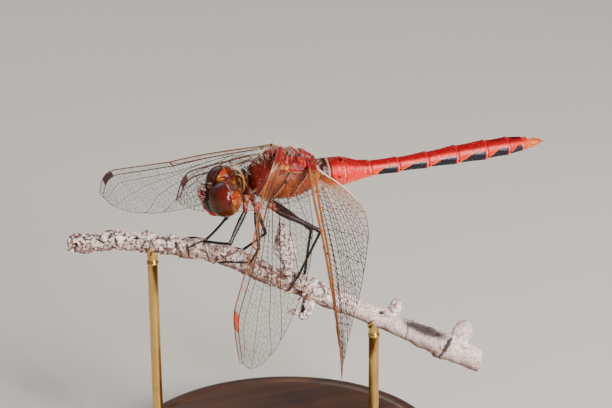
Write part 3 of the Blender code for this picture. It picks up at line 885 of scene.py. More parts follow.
@dataclass
class Abdomen:
    """The tail: one skin over ten segments, with the claspers at its end."""

    start: float = 3.30
    first_joint: float = 3.50
    ends: tuple[float, ...] = (4.43, 5.86, 8.46, 11.18, 13.98, 16.89, 19.79, 22.06, 23.55, 24.15)
    stations: tuple[tuple[float, ...], ...] = (  # x, middle, half height and half width
        (3.5, -0.20, 1.06, 1.08), (4.4, -0.42, 1.26, 1.24), (5.8, -0.56, 1.34, 1.24),
        (7.1, -0.66, 0.97, 0.92), (8.5, -0.64, 0.76, 0.76), (11.2, -0.62, 0.71, 0.74),
        (14.0, -0.50, 0.76, 0.80), (16.9, -0.36, 0.88, 0.94), (19.8, -0.25, 0.92, 0.98),
        (22.1, -0.13, 0.82, 0.92), (23.5, -0.08, 0.64, 0.72), (24.15, -0.08, 0.50, 0.58))
    rows: int = 720
    columns: int = 104
    points: Array = field(init=False)
    tints: Array = field(init=False)
    covers: Array = field(init=False)
    normals: Array = field(init=False)

    def shape(self) -> None:
        """Works out the skin's points: rings along X with rims, grooves, a keel and edges."""
        x = np.linspace(self.start, self.ends[-1] + 0.06, self.rows)[:, None]
        angle = turns(self.columns)[None, :]
        starts = np.array((self.first_joint, *self.ends[:-1]))
        number = np.clip(np.searchsorted(self.ends, x[:, 0]), 0, 9)
        from_front = x - starts[number][:, None]
        to_rear = np.array(self.ends)[number][:, None] - x
        share = from_front / (from_front + to_rear)
        xs, *rows = np.array(self.stations).T
        middle, height, width = (soft_line(x, xs, row, 0.45) for row in rows)
        segment = number[:, None] + 1
        long = (segment >= 4) & (segment <= 8)
        level = np.sin(angle)
        place = spread(x, np.cos(angle), level)
        ripple = np.cos(2.0 * np.pi * x / 0.17 + 1.5 * NOISE.at(place, 0.5))
        grow = (-0.085 * hump(from_front, 0.0, 0.10) - 0.05 * hump(to_rear, 0.0, 0.05)
                + 0.035 * hump(to_rear, 0.13, 0.07)
                + np.where(long, 0.07 * smooth(share, 0.35, 0.95) - 0.045, 0.0)
                + 0.022 * hump(from_front, 0.75, 0.05) * (segment == 2)
                + 0.018 * hump(from_front, 0.85, 0.05) * (segment == 3)
                + 0.012 * ripple * smooth(x, 4.4, 4.7) * fall(x, 6.6, 8.2)
                + 0.012 * NOISE.layered(place * (3.0, 1.0, 1.0), 0.35)
                + 0.045 * hump(angle, np.pi / 2.0, 0.10) * smooth(x, 4.4, 5.2)
                + 0.04 * hump(level, -0.66, 0.07) - 0.10 * smooth(-level, 0.74, 0.95))
        end = self.ends[-1]
        close = np.sqrt(np.clip(fall(x, end - 0.12, end + 0.06), 0.01, 1.0))
        self.points = body_rings(x, angle, middle, (width + grow) * close,
                                 (height + grow) * close, 0.14)
        self.paint(x, share, from_front, to_rear, segment, (level + 1.0) / 2.0, place)
        self.normals = grid_normals(self.points, spread(x, 0.0, middle))

    def paint(self, x: Array, share: Array, from_front: Array, to_rear: Array, segment: Array,
              level: Array, place: Array) -> None:
        """Paints the markings, with a painted highlight streak, a painted sheen on the black wedges
        and painted shade over the top, from where a point lies along its segment and up its side.

        Args:
            x: the point's place along the body.
            share: the same within its segment, from 0 to 1.
            from_front: the distance behind the segment's front joint.
            to_rear: the distance before its rear joint.
            segment: the segment's number, from 1.
            level: the height from 0 at the underside to 1 at the keel.
            place: the point on a unit cylinder, for the uneven edges.
        """
        rough = NOISE.layered(place * (1.0, 2.0, 2.0), 0.8)
        fine = NOISE.layered(place * (1.0, 3.0, 3.0), 0.22)
        wave = level + 0.02 * rough
        middle_part = (segment >= 4) & (segment <= 9)
        crest = (0.25 + 0.34 * smooth(share, 0.08, 0.55) + 0.02 * fine
                 + 0.04 * hump(share, 0.62, 0.16))
        front = np.where(segment == 4, 0.22, 0.10)
        wedge = (smooth(crest - level, -0.02, 0.03) * smooth(share, front, front + 0.05)
                 * fall(share, 0.91, 0.94) * smooth(level, 0.055, 0.085) * middle_part)
        fringe = hump(level - crest, 0.045, 0.06) * (1.0 - 0.7 * smooth(share, 0.5, 0.9))
        fringe = np.maximum(fringe, fall(level, 0.25, 0.42) * (share < 0.32))
        # A painted blue-grey sheen on the upper part of each black wedge.
        painted_wedge_sheen = hump(crest - level, 0.10, 0.035) * smooth(share, 0.45, 0.7)
        rim = hump(to_rear, 0.11, 0.06) * smooth(level, 0.06, 0.14) * (segment >= 2)
        dot = (hump(from_front, 0.14, 0.09) * hump(level, 0.27, 0.05) * middle_part
               + hump(x, 8.05, 0.10) * hump(level, 0.40, 0.035)
               + hump(x, 5.55, 0.17) * hump(level, 0.955, 0.03)
               + hump(x, 5.15, 0.16) * hump(level, 0.43, 0.05) * 0.8
               + smooth(segment, 7.5, 8.5) * hump(share, 0.5, 0.3) * hump(level, 0.98, 0.025))
        edge = hump(level, 0.135 - 0.05 * middle_part, 0.028)
        under = fall(level, 0.035, 0.075)
        tint = coats(
            INK.scarlet,
            # Darker crimson over the top: partly the red's own darker top, partly painted shade.
            (INK.crimson, 0.9 * smooth(wave, 0.75, 0.86) + 0.25 * smooth(rough, 0.1, 0.4)),
            # Painted highlight: a rose streak along the abdomen at mid-height.
            (INK.rose, (0.30 + 0.8 * fine) * hump(wave, 0.70, 0.05)),
            (INK.rose, 0.35 * fall(level, 0.2, 0.5) * (x < 9.0)),
            (INK.orange, 0.85 * fringe * middle_part * (1.0 - wedge)),
            (INK.navy, wedge),
            # Painted sheen: blue-grey over the top of each black wedge.
            (rgb(92, 94, 122), (0.5 + 0.5 * fine) * painted_wedge_sheen * wedge),
            (INK.rose, 0.25 * rim),
            (INK.cream, 0.35 * rim * hump(level, 0.52, 0.14)),
            (INK.crimson, 0.9 * hump(from_front, 0.02, 0.05) * (segment >= 2)),
            (INK.black, 1.3 * dot),
            (INK.amber, 0.8 * hump(x, 7.75, 0.07) * hump(level, 0.56, 0.12)),
            (INK.cream, 0.75 * edge * smooth(x, 5.6, 6.4)),
            (rgb(86, 60, 56), under * smooth(x, 4.6, 6.0)),
            (INK.rust, 0.8 * under * fall(x, 4.6, 6.0)),
            (INK.black, 0.92 * fall(x, 4.44, 4.52) * smooth(level, 0.12, 0.3)),
            (INK.flesh, hump(x, 4.24, 0.07) * smooth(level, 0.1, 0.2)),
            (INK.black, hump(x, 4.58, 0.14) * hump(level, 0.34, 0.11)),
            (INK.orange, 0.55 * smooth(x, 23.4, 23.7)))
        self.tints = np.clip(tint * (1.0 + 0.10 * fine[..., None]), 0.0, 1.0)
        self.covers = 1.0 - 0.8 * np.clip(wedge + dot, 0.0, 1.0)

    def build(self) -> None:
        """Makes the skin, the claspers and the soft hairs near the waist."""
        self.shape()
        skin = Pile()
        skin.add_tube(self.points, self.tints, self.covers)
        skin.make("abdomen_skin", ABDOMEN_SHELL,
                  tuple(f"abdomen_{n:02d}" for n in range(1, 11)))
        self.claspers()
        self.hairs()

    def claspers(self) -> None:
        """The two cerci, which taper to upturned points, and the epiproct below them."""
        root = np.array([self.ends[-1] - 0.12, 0.0, self.stations[-1][1]])
        run = np.linspace(0.0, 1.0, 28)
        swell = np.sqrt(np.clip(np.sin(np.pi * np.clip(run * 0.93 + 0.035, 0, 1)), 0, 1))
        for name, offset, length, drop, radius in (
                ("cercus_left", (0.0, -0.29, 0.14), 1.60, -0.12, 0.25),
                ("cercus_right", (0.0, 0.29, 0.14), 1.60, -0.12, 0.25),
                ("epiproct", (0.0, 0.0, -0.32), 1.10, 0.04, 0.22)):
            bend = drop * np.sin(np.pi * run * 0.5) + 0.10 * run ** 3
            path = root + offset + spread(length * run, 0.0, bend)
            thick = radius * swell * (1.0 - 0.45 * run + 0.35 * hump(run, 0.62, 0.16))
            share = run[:, None]
            tint = coats(rgb(206, 74, 24), (INK.amber, 0.5 * hump(share, 0.35, 0.25)),
                         (INK.black, 0.85 * smooth(share, 0.86, 1.0)))
            pile = Pile()
            pile.add_tube(rings_along(path, thick, 20), tint)
            pile.make(name + "_shell", FACE_SHELL, (name,))

    def hairs(self) -> None:
        """Pale hairs, thick under and beside the first three segments and short and sparse behind.
        """
        x, _, z = axes(self.points)
        level = z - z.min(axis=1, keepdims=True)
        level = level / level.max(axis=1, keepdims=True)
        front = fall(x, 6.0, 9.5) * (0.35 + 1.2 * fall(level, 0.1, 0.5))
        grow_coat("abdomen_hair", self.points, self.normals, self.tints, front + 0.10,
                  np.random.default_rng(Seed.TAIL_HAIR),
                  HairStyle(count=1500, length=0.55, radius=0.0065, lean=(0.55, 0.0, -0.25),
                            paleness=0.8), 0.45 + 0.55 * front / front.max())


@dataclass(frozen=True)
class HairStyle:
    """How the hairs of one coat stand: their count, size, lean and paleness."""

    count: int
    length: float
    radius: float
    lean: Triple = (0.0, 0.0, 0.0)
    spread: float = 0.28
    curl: float = 0.12
    paleness: float = 0.85
    colour: Colour = INK.pale_gold


def grow_coat(name: str, points: Array, normals: Array, tints: Row, chance: Array,
              draw: np.random.Generator, style: HairStyle,
              length_by: Array | float = 1.0) -> None:
    """Grows hairs out of a grid skin and makes them one coat piece.

    Each hair starts at a random point of the skin and runs along normal + lean + a random turn.

    Args:
        name: the coat piece's name.
        points: the skin's grid of points.
        normals: its directions outwards.
        tints: its colours, which the hairs take a share of.
        chance: how likely a hair is at each point.
        draw: the random numbers.
        style: the hairs' count, size and lie.
        length_by: the hair's length at each point, as a share of the style's.
    """
    count = style.count
    rows, columns = shape = points.shape[:2]
    weight = np.clip(np.broadcast_to(chance, shape), 0.0, None).ravel()
    chosen = draw.choice(rows * columns, size=count, p=weight / weight.sum())
    root, normal, tint = (np.broadcast_to(a, points.shape).reshape(-1, 3)[chosen]
                          for a in (points, normals, tints))
    lean = np.asarray(style.lean) + draw.normal(0.0, style.spread, (count, 3))
    share = np.broadcast_to(length_by, shape).ravel()[chosen]
    length = (style.length * share * draw.uniform(0.6, 1.1, count))[:, None]
    bow = draw.normal(0.0, style.curl, (count, 3)) * length * 0.5
    tint = tint + (np.asarray(style.colour) - tint) * style.paleness
    unwrap = np.stack([chosen // columns / rows, chosen % columns / columns], axis=-1)
    coat = Pile()
    straws(coat, root - normal * 0.02, root + unit(normal + lean) * length,
           style.radius * draw.uniform(0.7, 1.2, count), tint, bow, unwrap * (1.0 - TUFT_PATCH))
    coat.make(name, HAIR, coat=True)


# ---------------------------------------------------------------- thorax


@dataclass
class Thorax:
    """The winged trunk: a barrel with sutures, a ridged back, wing hinges and soft hair."""

    stations: tuple[tuple[float, float, float, float], ...] = (  # x, top, underside, half width
        (-3.15, 0.45, -0.95, 0.75), (-2.75, 1.0, -1.5, 1.35), (-2.1, 1.62, -1.9, 1.8),
        (-1.25, 2.12, -2.15, 2.08), (-0.3, 2.32, -2.28, 2.2), (0.7, 2.2, -2.28, 2.2),
        (1.7, 1.96, -2.12, 2.05), (2.55, 1.66, -1.82, 1.72), (3.1, 1.18, -1.45, 1.35),
        (3.42, 0.85, -1.15, 1.08))
    back_humps: tuple[Triple, ...] = (  # height, x and width
        (1.0, -0.75, 0.26), (-1.0, -0.3, 0.12), (0.9, 0.1, 0.25), (-1.2, 0.6, 0.16),
        (0.8, 1.1, 0.26), (-1.0, 1.6, 0.13), (0.8, 2.0, 0.2))
    narrowing: float = 0.34
    rows: int = 260
    columns: int = 240
    points: Array = field(init=False)
    tints: Array = field(init=False)
    covers: Array = field(init=False)
    normals: Array = field(init=False)

    def build(self) -> None:
        """Makes the barrel, the hinges of the wings, the front lobe, the neck and the hair."""
        self.shape()
        skin = Pile()
        skin.add_tube(self.points, self.tints, self.covers)
        skin.make("thorax_skin", THORAX_SHELL, ("thorax",))
        self.hinges()
        self.front_lobe()
        self.hairs()

    def seams(self, x: Array, z: Array) -> dict[str, Array]:
        """How far a point of the side lies behind each seam of the side plates.

        Args:
            x: the point's place along the body.
            z: its height.

        Returns:
            The distance behind the shoulder, middle and rear seams and above the ledge.
        """
        shoulder = soft_line(z, (-2.3, -0.74, 0.45, 1.3, 2.4),
                             (-2.55, -2.28, -1.73, -0.81, 0.0), 0.3)
        middle = soft_line(z, (-2.3, -1.0, 0.2, 0.9), (-1.35, -0.85, -0.15, 0.42), 0.3)
        rear = soft_line(z, (-2.3, -1.2, 0.0, 0.6), (0.25, 0.7, 1.55, 2.15), 0.3)
        return {"shoulder": x - shoulder, "middle": x - middle, "rear": x - rear,
                "ledge": z - (0.72 - 0.22 * x)}

    def shape(self) -> None:
        """Works out the barrel's points from its stations, and moves them along their normals."""
        xs, tops, unders, widths = np.array(self.stations).T
        x = np.linspace(xs[0], xs[-1] + 0.08, self.rows)[:, None]
        angle = turns(self.columns)[None, :]
        top, under, width = (soft_line(x, xs, row, 0.3) for row in (tops, unders, widths))
        close = np.sqrt(np.clip(smooth(x, xs[0] - 0.02, xs[0] + 0.5), 0.0, 1.0))
        close = close * np.sqrt(1.0 - 0.6 * smooth(x, xs[-1] - 0.2, xs[-1] + 0.08))
        middle = (top + under) / 2.0
        base = body_rings(x, angle, middle, width * close, (top - under) / 2.0 * close,
                          self.narrowing)
        centre = spread(x, 0.0, middle)
        normals = grid_normals(base, centre)
        lift = self.relief(base)
        self.points = base + normals * lift[..., None]
        self.normals = grid_normals(self.points, centre)
        self.paint(base, lift)

    def relief(self, base: Array) -> Array:
        """The height of the plates, seams and back ridges over the plain barrel.

        Args:
            base: the barrel's points.

        Returns:
            How far each point moves outwards.
        """
        x, y, z = axes(base)
        y = np.abs(y)
        seam = self.seams(x, z)
        side = smooth(y, 0.8, 1.2)
        below = fall(seam["ledge"], -0.05, 0.1) * side
        ledge = smooth(x, -0.4, 0.2) * side
        back = smooth(z, 1.0, 1.5) * smooth(x, -1.25, -0.9) * fall(x, 2.6, 2.9)
        humps = sum(height * hump(x, place, width) for height, place, width in self.back_humps)
        lift = (-0.1 * hump(seam["shoulder"], 0.0, 0.06) * side
                + 0.05 * hump(seam["shoulder"], 0.12, 0.09) * side
                - 0.09 * hump(seam["middle"], 0.0, 0.055) * below
                - 0.09 * hump(seam["rear"], 0.0, 0.055) * below
                + 0.05 * (hump(seam["middle"], -0.55, 0.5) + hump(seam["rear"], -0.65, 0.5)) * below
                - 0.16 * hump(seam["ledge"], 0.1, 0.12) * ledge
                + 0.06 * hump(seam["ledge"], -0.1, 0.08) * ledge
                + 0.15 * humps * back * fall(y, 0.55, 0.9)
                - 0.16 * hump(y, 0.78, 0.16) * back
                + 0.07 * fall(y, 0.0, 0.1) * fall(x, -1.3, -1.0) * smooth(z, 0.2, 0.8)
                - 0.05 * hump(y, 0.0, 0.12) * smooth(-z, 1.2, 1.6))
        crumple = NOISE.layered(base * (1.0, 0.8, 1.0), 0.42, 4)
        above = smooth(seam["ledge"], -0.05, 0.1) * smooth(x, -1.0, -0.4)
        crumple = crumple + 1.1 * above * NOISE.layered(base, 0.26)
        return lift + 0.075 * crumple * (0.35 + 0.65 * smooth(x, -2.2, -1.2))

    def paint(self, base: Array, lift: Array) -> None:
        """Paints the dark front, the rusty sides with pale seams, and the crimson back, with a
        painted highlight on the back's raised folds and painted shade in its dips.

        Args:
            base: the barrel's points.
            lift: how far each was moved outwards.
        """
        x, y, z = axes(base)
        y = np.abs(y)
        seam = self.seams(x, z)
        cloud = NOISE.layered(base, 0.6)
        fine = NOISE.layered(base * (1.0, 1.6, 1.6), 0.2)
        side = smooth(y, 0.7, 1.1)
        behind = smooth(seam["shoulder"], -0.04, 0.08)
        below = fall(seam["ledge"], -0.02, 0.1)
        lines = np.cos(2.0 * np.pi * seam["shoulder"] / 0.17 + 2.5 * NOISE.at(base, 0.5))
        tint = coats(
            rgb(106, 15, 8),
            (rgb(54, 6, 5), 0.8 * smooth(z, 0.7, 1.7) + 0.5 * cloud),
            (rgb(112, 38, 10), 0.7 * fall(z, -1.3, -0.3)),
            (rgb(160, 66, 32), 0.5 * smooth(lines, 0.3, 1.0) * (cloud > -0.3)))
        rust = coats(
            rgb(112, 38, 8),
            (rgb(146, 70, 34), 0.4 + 0.9 * cloud),
            (rgb(66, 16, 6), 0.7 * smooth(fine, 0.05, 0.4)),
            (rgb(170, 62, 12), 0.55 * hump(seam["rear"], 0.5, 0.45)),
            (rgb(118, 60, 58), 0.6 * hump(seam["shoulder"], 0.35, 0.5) * fall(z, -1.3, -0.6)))
        back = coats(
            rgb(140, 18, 16),
            (rgb(84, 24, 12), 0.5 + 0.9 * cloud),
            (rgb(200, 50, 44), 0.8 * smooth(fine, 0.15, 0.5)))
        top = smooth(z, 1.25, 1.6) * smooth(x, -1.2, -0.9) * fall(x, 2.7, 3.0)
        blotch = NOISE.layered(base * (1.0, 1.0, 0.6), 1.0)
        wobble = 0.1 * NOISE.at(base, 0.5)
        middle, rear = seam["middle"] + wobble, seam["rear"] + wobble
        dark = (0.9 * hump(seam["shoulder"], -0.05, 0.07)
                + 0.95 * below * (hump(middle, -0.06, 0.1) + hump(rear, -0.06, 0.1)))
        pale = (hump(seam["shoulder"], 0.09, 0.07)
                + 0.8 * below * (hump(middle, 0.13, 0.07) + hump(rear, 0.13, 0.07)))
        hem = fall(z, -1.75, -1.45)
        hole = np.hypot((x + 0.25) / 0.16, (z + 0.15) / 0.26)
        tint = coats(
            tint,
            (rust, behind * below),
            (back, behind * (1.0 - below)),
            (rgb(132, 8, 12), 0.7 * top),
            # Painted highlight: pink on the back's raised folds.
            (rgb(210, 96, 84), 0.45 * top * smooth(lift, 0.04, 0.14)),
            # Painted shade: black in the dips between the back's folds.
            (INK.black, 0.8 * top * smooth(-lift, 0.03, 0.12)),
            (rgb(80, 22, 10), 0.6 * smooth(-blotch, 0.05, 0.35) * behind * below),
            (rgb(176, 84, 40), 0.6 * smooth(blotch, 0.1, 0.4) * behind * below),
            (rgb(26, 8, 5), dark * side),
            (rgb(216, 140, 104), 0.95 * pale * side),
            (rgb(186, 34, 18), 0.7 * hem * smooth(x, -0.8, 0.6) * side),
            (rgb(96, 62, 56), fall(y, 0.4, 0.9) * smooth(-z, 1.2, 1.6)),
            (rgb(226, 132, 40), 0.75 * smooth(x, 2.35, 2.75) * fall(z, -0.2, 0.4)),
            (INK.black, 0.9 * fall(hole, 0.7, 1.1) * side))
        self.tints = np.clip(tint * (1.0 + 0.45 * fine[..., None]), 0.0, 1.0)
        self.covers = np.clip(0.85 + 0.3 * cloud, 0.0, 1.0)

    def hinges(self) -> None:
        """The small knobs and plates that the wings turn on, on both sides."""
        knobs = (  # x, distance from the middle and z, then the radii and the colour
            ((-0.76, 1.16, 1.66), (0.3, 0.24, 0.26), INK.crimson),
            ((-0.3, 0.98, 1.92), (0.24, 0.22, 0.18), INK.scarlet),
            ((0.09, 1.34, 1.48), (0.26, 0.22, 0.3), rgb(200, 16, 36)),
            ((-0.5, 1.66, 1.04), (0.22, 0.18, 0.24), INK.amber),
            ((-0.02, 1.78, 0.92), (0.24, 0.18, 0.26), rgb(240, 168, 50)),
            ((0.52, 1.3, 1.34), (0.24, 0.2, 0.2), rgb(120, 30, 18)),
            ((-1.1, 1.3, 1.3), (0.2, 0.2, 0.28), rgb(120, 16, 20)),
            ((1.72, 1.5, 0.92), (0.26, 0.22, 0.22), rgb(214, 6, 34)),
            ((2.15, 1.55, 0.66), (0.26, 0.22, 0.26), rgb(206, 14, 36)),
            ((2.6, 1.36, 0.52), (0.22, 0.2, 0.24), rgb(190, 30, 40)),
            ((2.92, 1.2, 0.26), (0.18, 0.16, 0.26), rgb(200, 40, 36)),
            ((1.25, 1.1, 1.5), (0.34, 0.24, 0.18), rgb(150, 26, 20)),
            ((-0.05, 0.62, 2.16), (0.3, 0.22, 0.16), rgb(168, 34, 34)),
            ((1.1, 0.6, 1.98), (0.3, 0.24, 0.16), rgb(160, 36, 32)),
        )
        pile = Pile()
        for side in SIDES.values():
            for (x, y, z), radii, colour in knobs:
                centre = np.array([x, side * y, z])
                points, _ = ball(centre, radii, 16, 26)
                dent = 1.0 + 0.4 * NOISE.layered(points, 0.2)
                points = centre + (points - centre) * dent[..., None]
                tint = coats(
                    colour,
                    # Painted glints: cream flecks on the knobs.
                    (INK.cream, 0.5 * smooth(NOISE.at(points, 0.12), 0.45, 0.75)),
                    # Painted shade: darker where a knob's surface is dented in.
                    (rgb(40, 6, 8), 0.8 * smooth(1.0 - dent, 0.02, 0.12)))
                pile.add_tube(points, tint, 0.4)
            self.braces(pile, side)
        pile.make("wing_hinges", FACE_SHELL)

    def braces(self, pile: Pile, side: float) -> None:
        """Pale cords that stand out along the shoulder and below each wing.

        Args:
            pile: what they are added to.
            side: which side of the insect they are on.
        """
        lines = (
            (((-1.62, 1.84, 0.62), (-1.15, 1.8, 1.1), (-0.8, 1.56, 1.46)), 0.06, INK.cream),
            (((-0.52, 1.86, 0.8), (-0.2, 1.98, 0.66), (0.22, 2.02, 0.7)), 0.05, INK.tan),
            (((0.36, 1.98, 0.62), (1.15, 1.96, 0.46), (2.05, 1.8, 0.24)), 0.03, INK.tan),
            (((2.55, 1.5, 0.34), (2.95, 1.28, 0.02), (3.3, 1.14, -0.44)), 0.055, INK.cream),
            (((-0.7, 1.44, 1.42), (-0.36, 1.62, 1.22), (-0.1, 1.66, 1.2)), 0.06, INK.rose))
        run = np.linspace(0.0, 1.0, 24)
        share = run[:, None]
        for stops, radius, colour in lines:
            first, middle, last = np.array(stops) * (1.0, side, 1.0)
            path = ((1.0 - share) ** 2 * first + share ** 2 * last
                    + 2.0 * share * (1.0 - share) * (2.0 * middle - (first + last) / 2.0))
            thick = radius * (0.5 + 0.5 * np.sin(np.pi * run))
            pile.add_tube(rings_along(path, thick, 10, SIDEWAYS), colour, 0.6)

    def front_lobe(self) -> None:
        """The prothorax: three folded rings, a raised hind lobe, and the dark neck."""
        pile = Pile()
        rings = (  # x, z, radii along, across and up, colour
            (-3.92, -0.52, (0.24, 0.8, 0.72), rgb(72, 44, 34)),
            (-3.66, -0.36, (0.26, 1.02, 0.98), rgb(156, 92, 50)),
            (-3.34, -0.32, (0.26, 1.00, 1.06), rgb(24, 10, 9)),
            (-3.05, -1.35, (0.6, 0.88, 0.8), rgb(84, 26, 14)),
        )
        for x, z, radii, colour in rings:
            points, way = ball((x, 0.0, z), radii, 28, 60)
            tint = coats(
                colour,
                (INK.tan, 0.6 * smooth(NOISE.layered(points, 0.4), 0.0, 0.5)),
                (INK.black, 0.7 * smooth(np.abs(way[..., 0]), 0.5, 0.9)))
            pile.add_tube(points, tint, 0.8)
        self.collar(pile)
        pile.make("prothorax_shell", THORAX_SHELL, ("prothorax",))
        neck = Pile()
        run = np.linspace(0.0, 1.0, 30)
        path = line_between(np.array([-4.8, -0.64, -1.02]), np.array([-3.9, 0.0, -0.52]), run)
        folds = 0.3 + 0.035 * np.cos(run * 34.0)
        neck.add_tube(rings_along(path, folds, 28), INK.black, 0.7)
        neck.make("neck_skin", THORAX_SHELL, ("neck",))

    def collar(self, pile: Pile) -> None:
        """The thin upright hind lobe of the prothorax, tan with a pale edge.

        It is an arc of a disc about 1.1 in radius, bent back towards its edge.

        Args:
            pile: what it is added to.
        """
        turn = np.linspace(np.radians(-10.0), np.radians(190.0), 60)[:, None]
        across = turns(16)[None, :]
        reach = 0.74 + 0.32 * (np.sin(across) * 0.5 + 0.5)
        thick = 0.055 * np.cos(across)
        notch = 1.0 - 0.1 * hump(turn, np.pi / 2.0, 0.16)
        points = spread(-3.52 + thick - 0.42 * np.sin(turn) * reach,
                        np.cos(turn) * reach * notch * 1.02,
                        -0.3 + np.sin(turn) * reach * notch * 1.04)
        tint = coats(rgb(64, 34, 34), (rgb(214, 132, 66), 0.9 * smooth(reach, 0.96, 1.03)))
        pile.add_tube(points, tint, 0.7)

    def hairs(self) -> None:
        """Long pale hair: thick on the back, the rear and the underside, and thin on the front and
        the sides.
        """
        draw = np.random.default_rng(Seed.THORAX_HAIR)
        x, _, z = axes(self.points)
        top = smooth(z, 1.0, 1.8)
        front = fall(x, -2.2, -0.9)
        rear = smooth(x, 2.2, 3.0)
        under = smooth(-z, 1.0, 1.8)
        chance = 0.1 + 1.0 * top + 0.1 * front * smooth(z, -1.2, 0.6) + 0.6 * rear + 0.5 * under
        length = 0.45 + 0.55 * np.clip(top + 0.8 * front + 0.5 * rear + 0.4 * under, 0.0, 1.0)
        # The hairs are cream at full paleness: partly their own pale colour, partly painted light
        # for the glow of backlit hair.
        grow_coat("thorax_hair", self.points, self.normals, self.tints, chance, draw,
                  HairStyle(count=820, length=0.92, radius=0.0098, lean=(-0.1, 0.0, 0.28),
                            paleness=1.0, colour=INK.cream), length)
        points, way = ball((-3.7, 0.0, -0.26), (0.22, 0.98, 1.02), 40, 80)
        rim = smooth(np.hypot(way[..., 1], way[..., 2]), 0.8, 1.0)
        chance = rim * smooth(way[..., 2], 0.25, 0.7)
        grow_coat("prothorax_hair", points, way, INK.tan, chance, draw,
                  HairStyle(count=40, length=1.2, radius=0.0095, lean=(-1.5, 0.0, 0.55),
                            spread=0.34, colour=INK.cream))


# ---------------------------------------------------------------- head


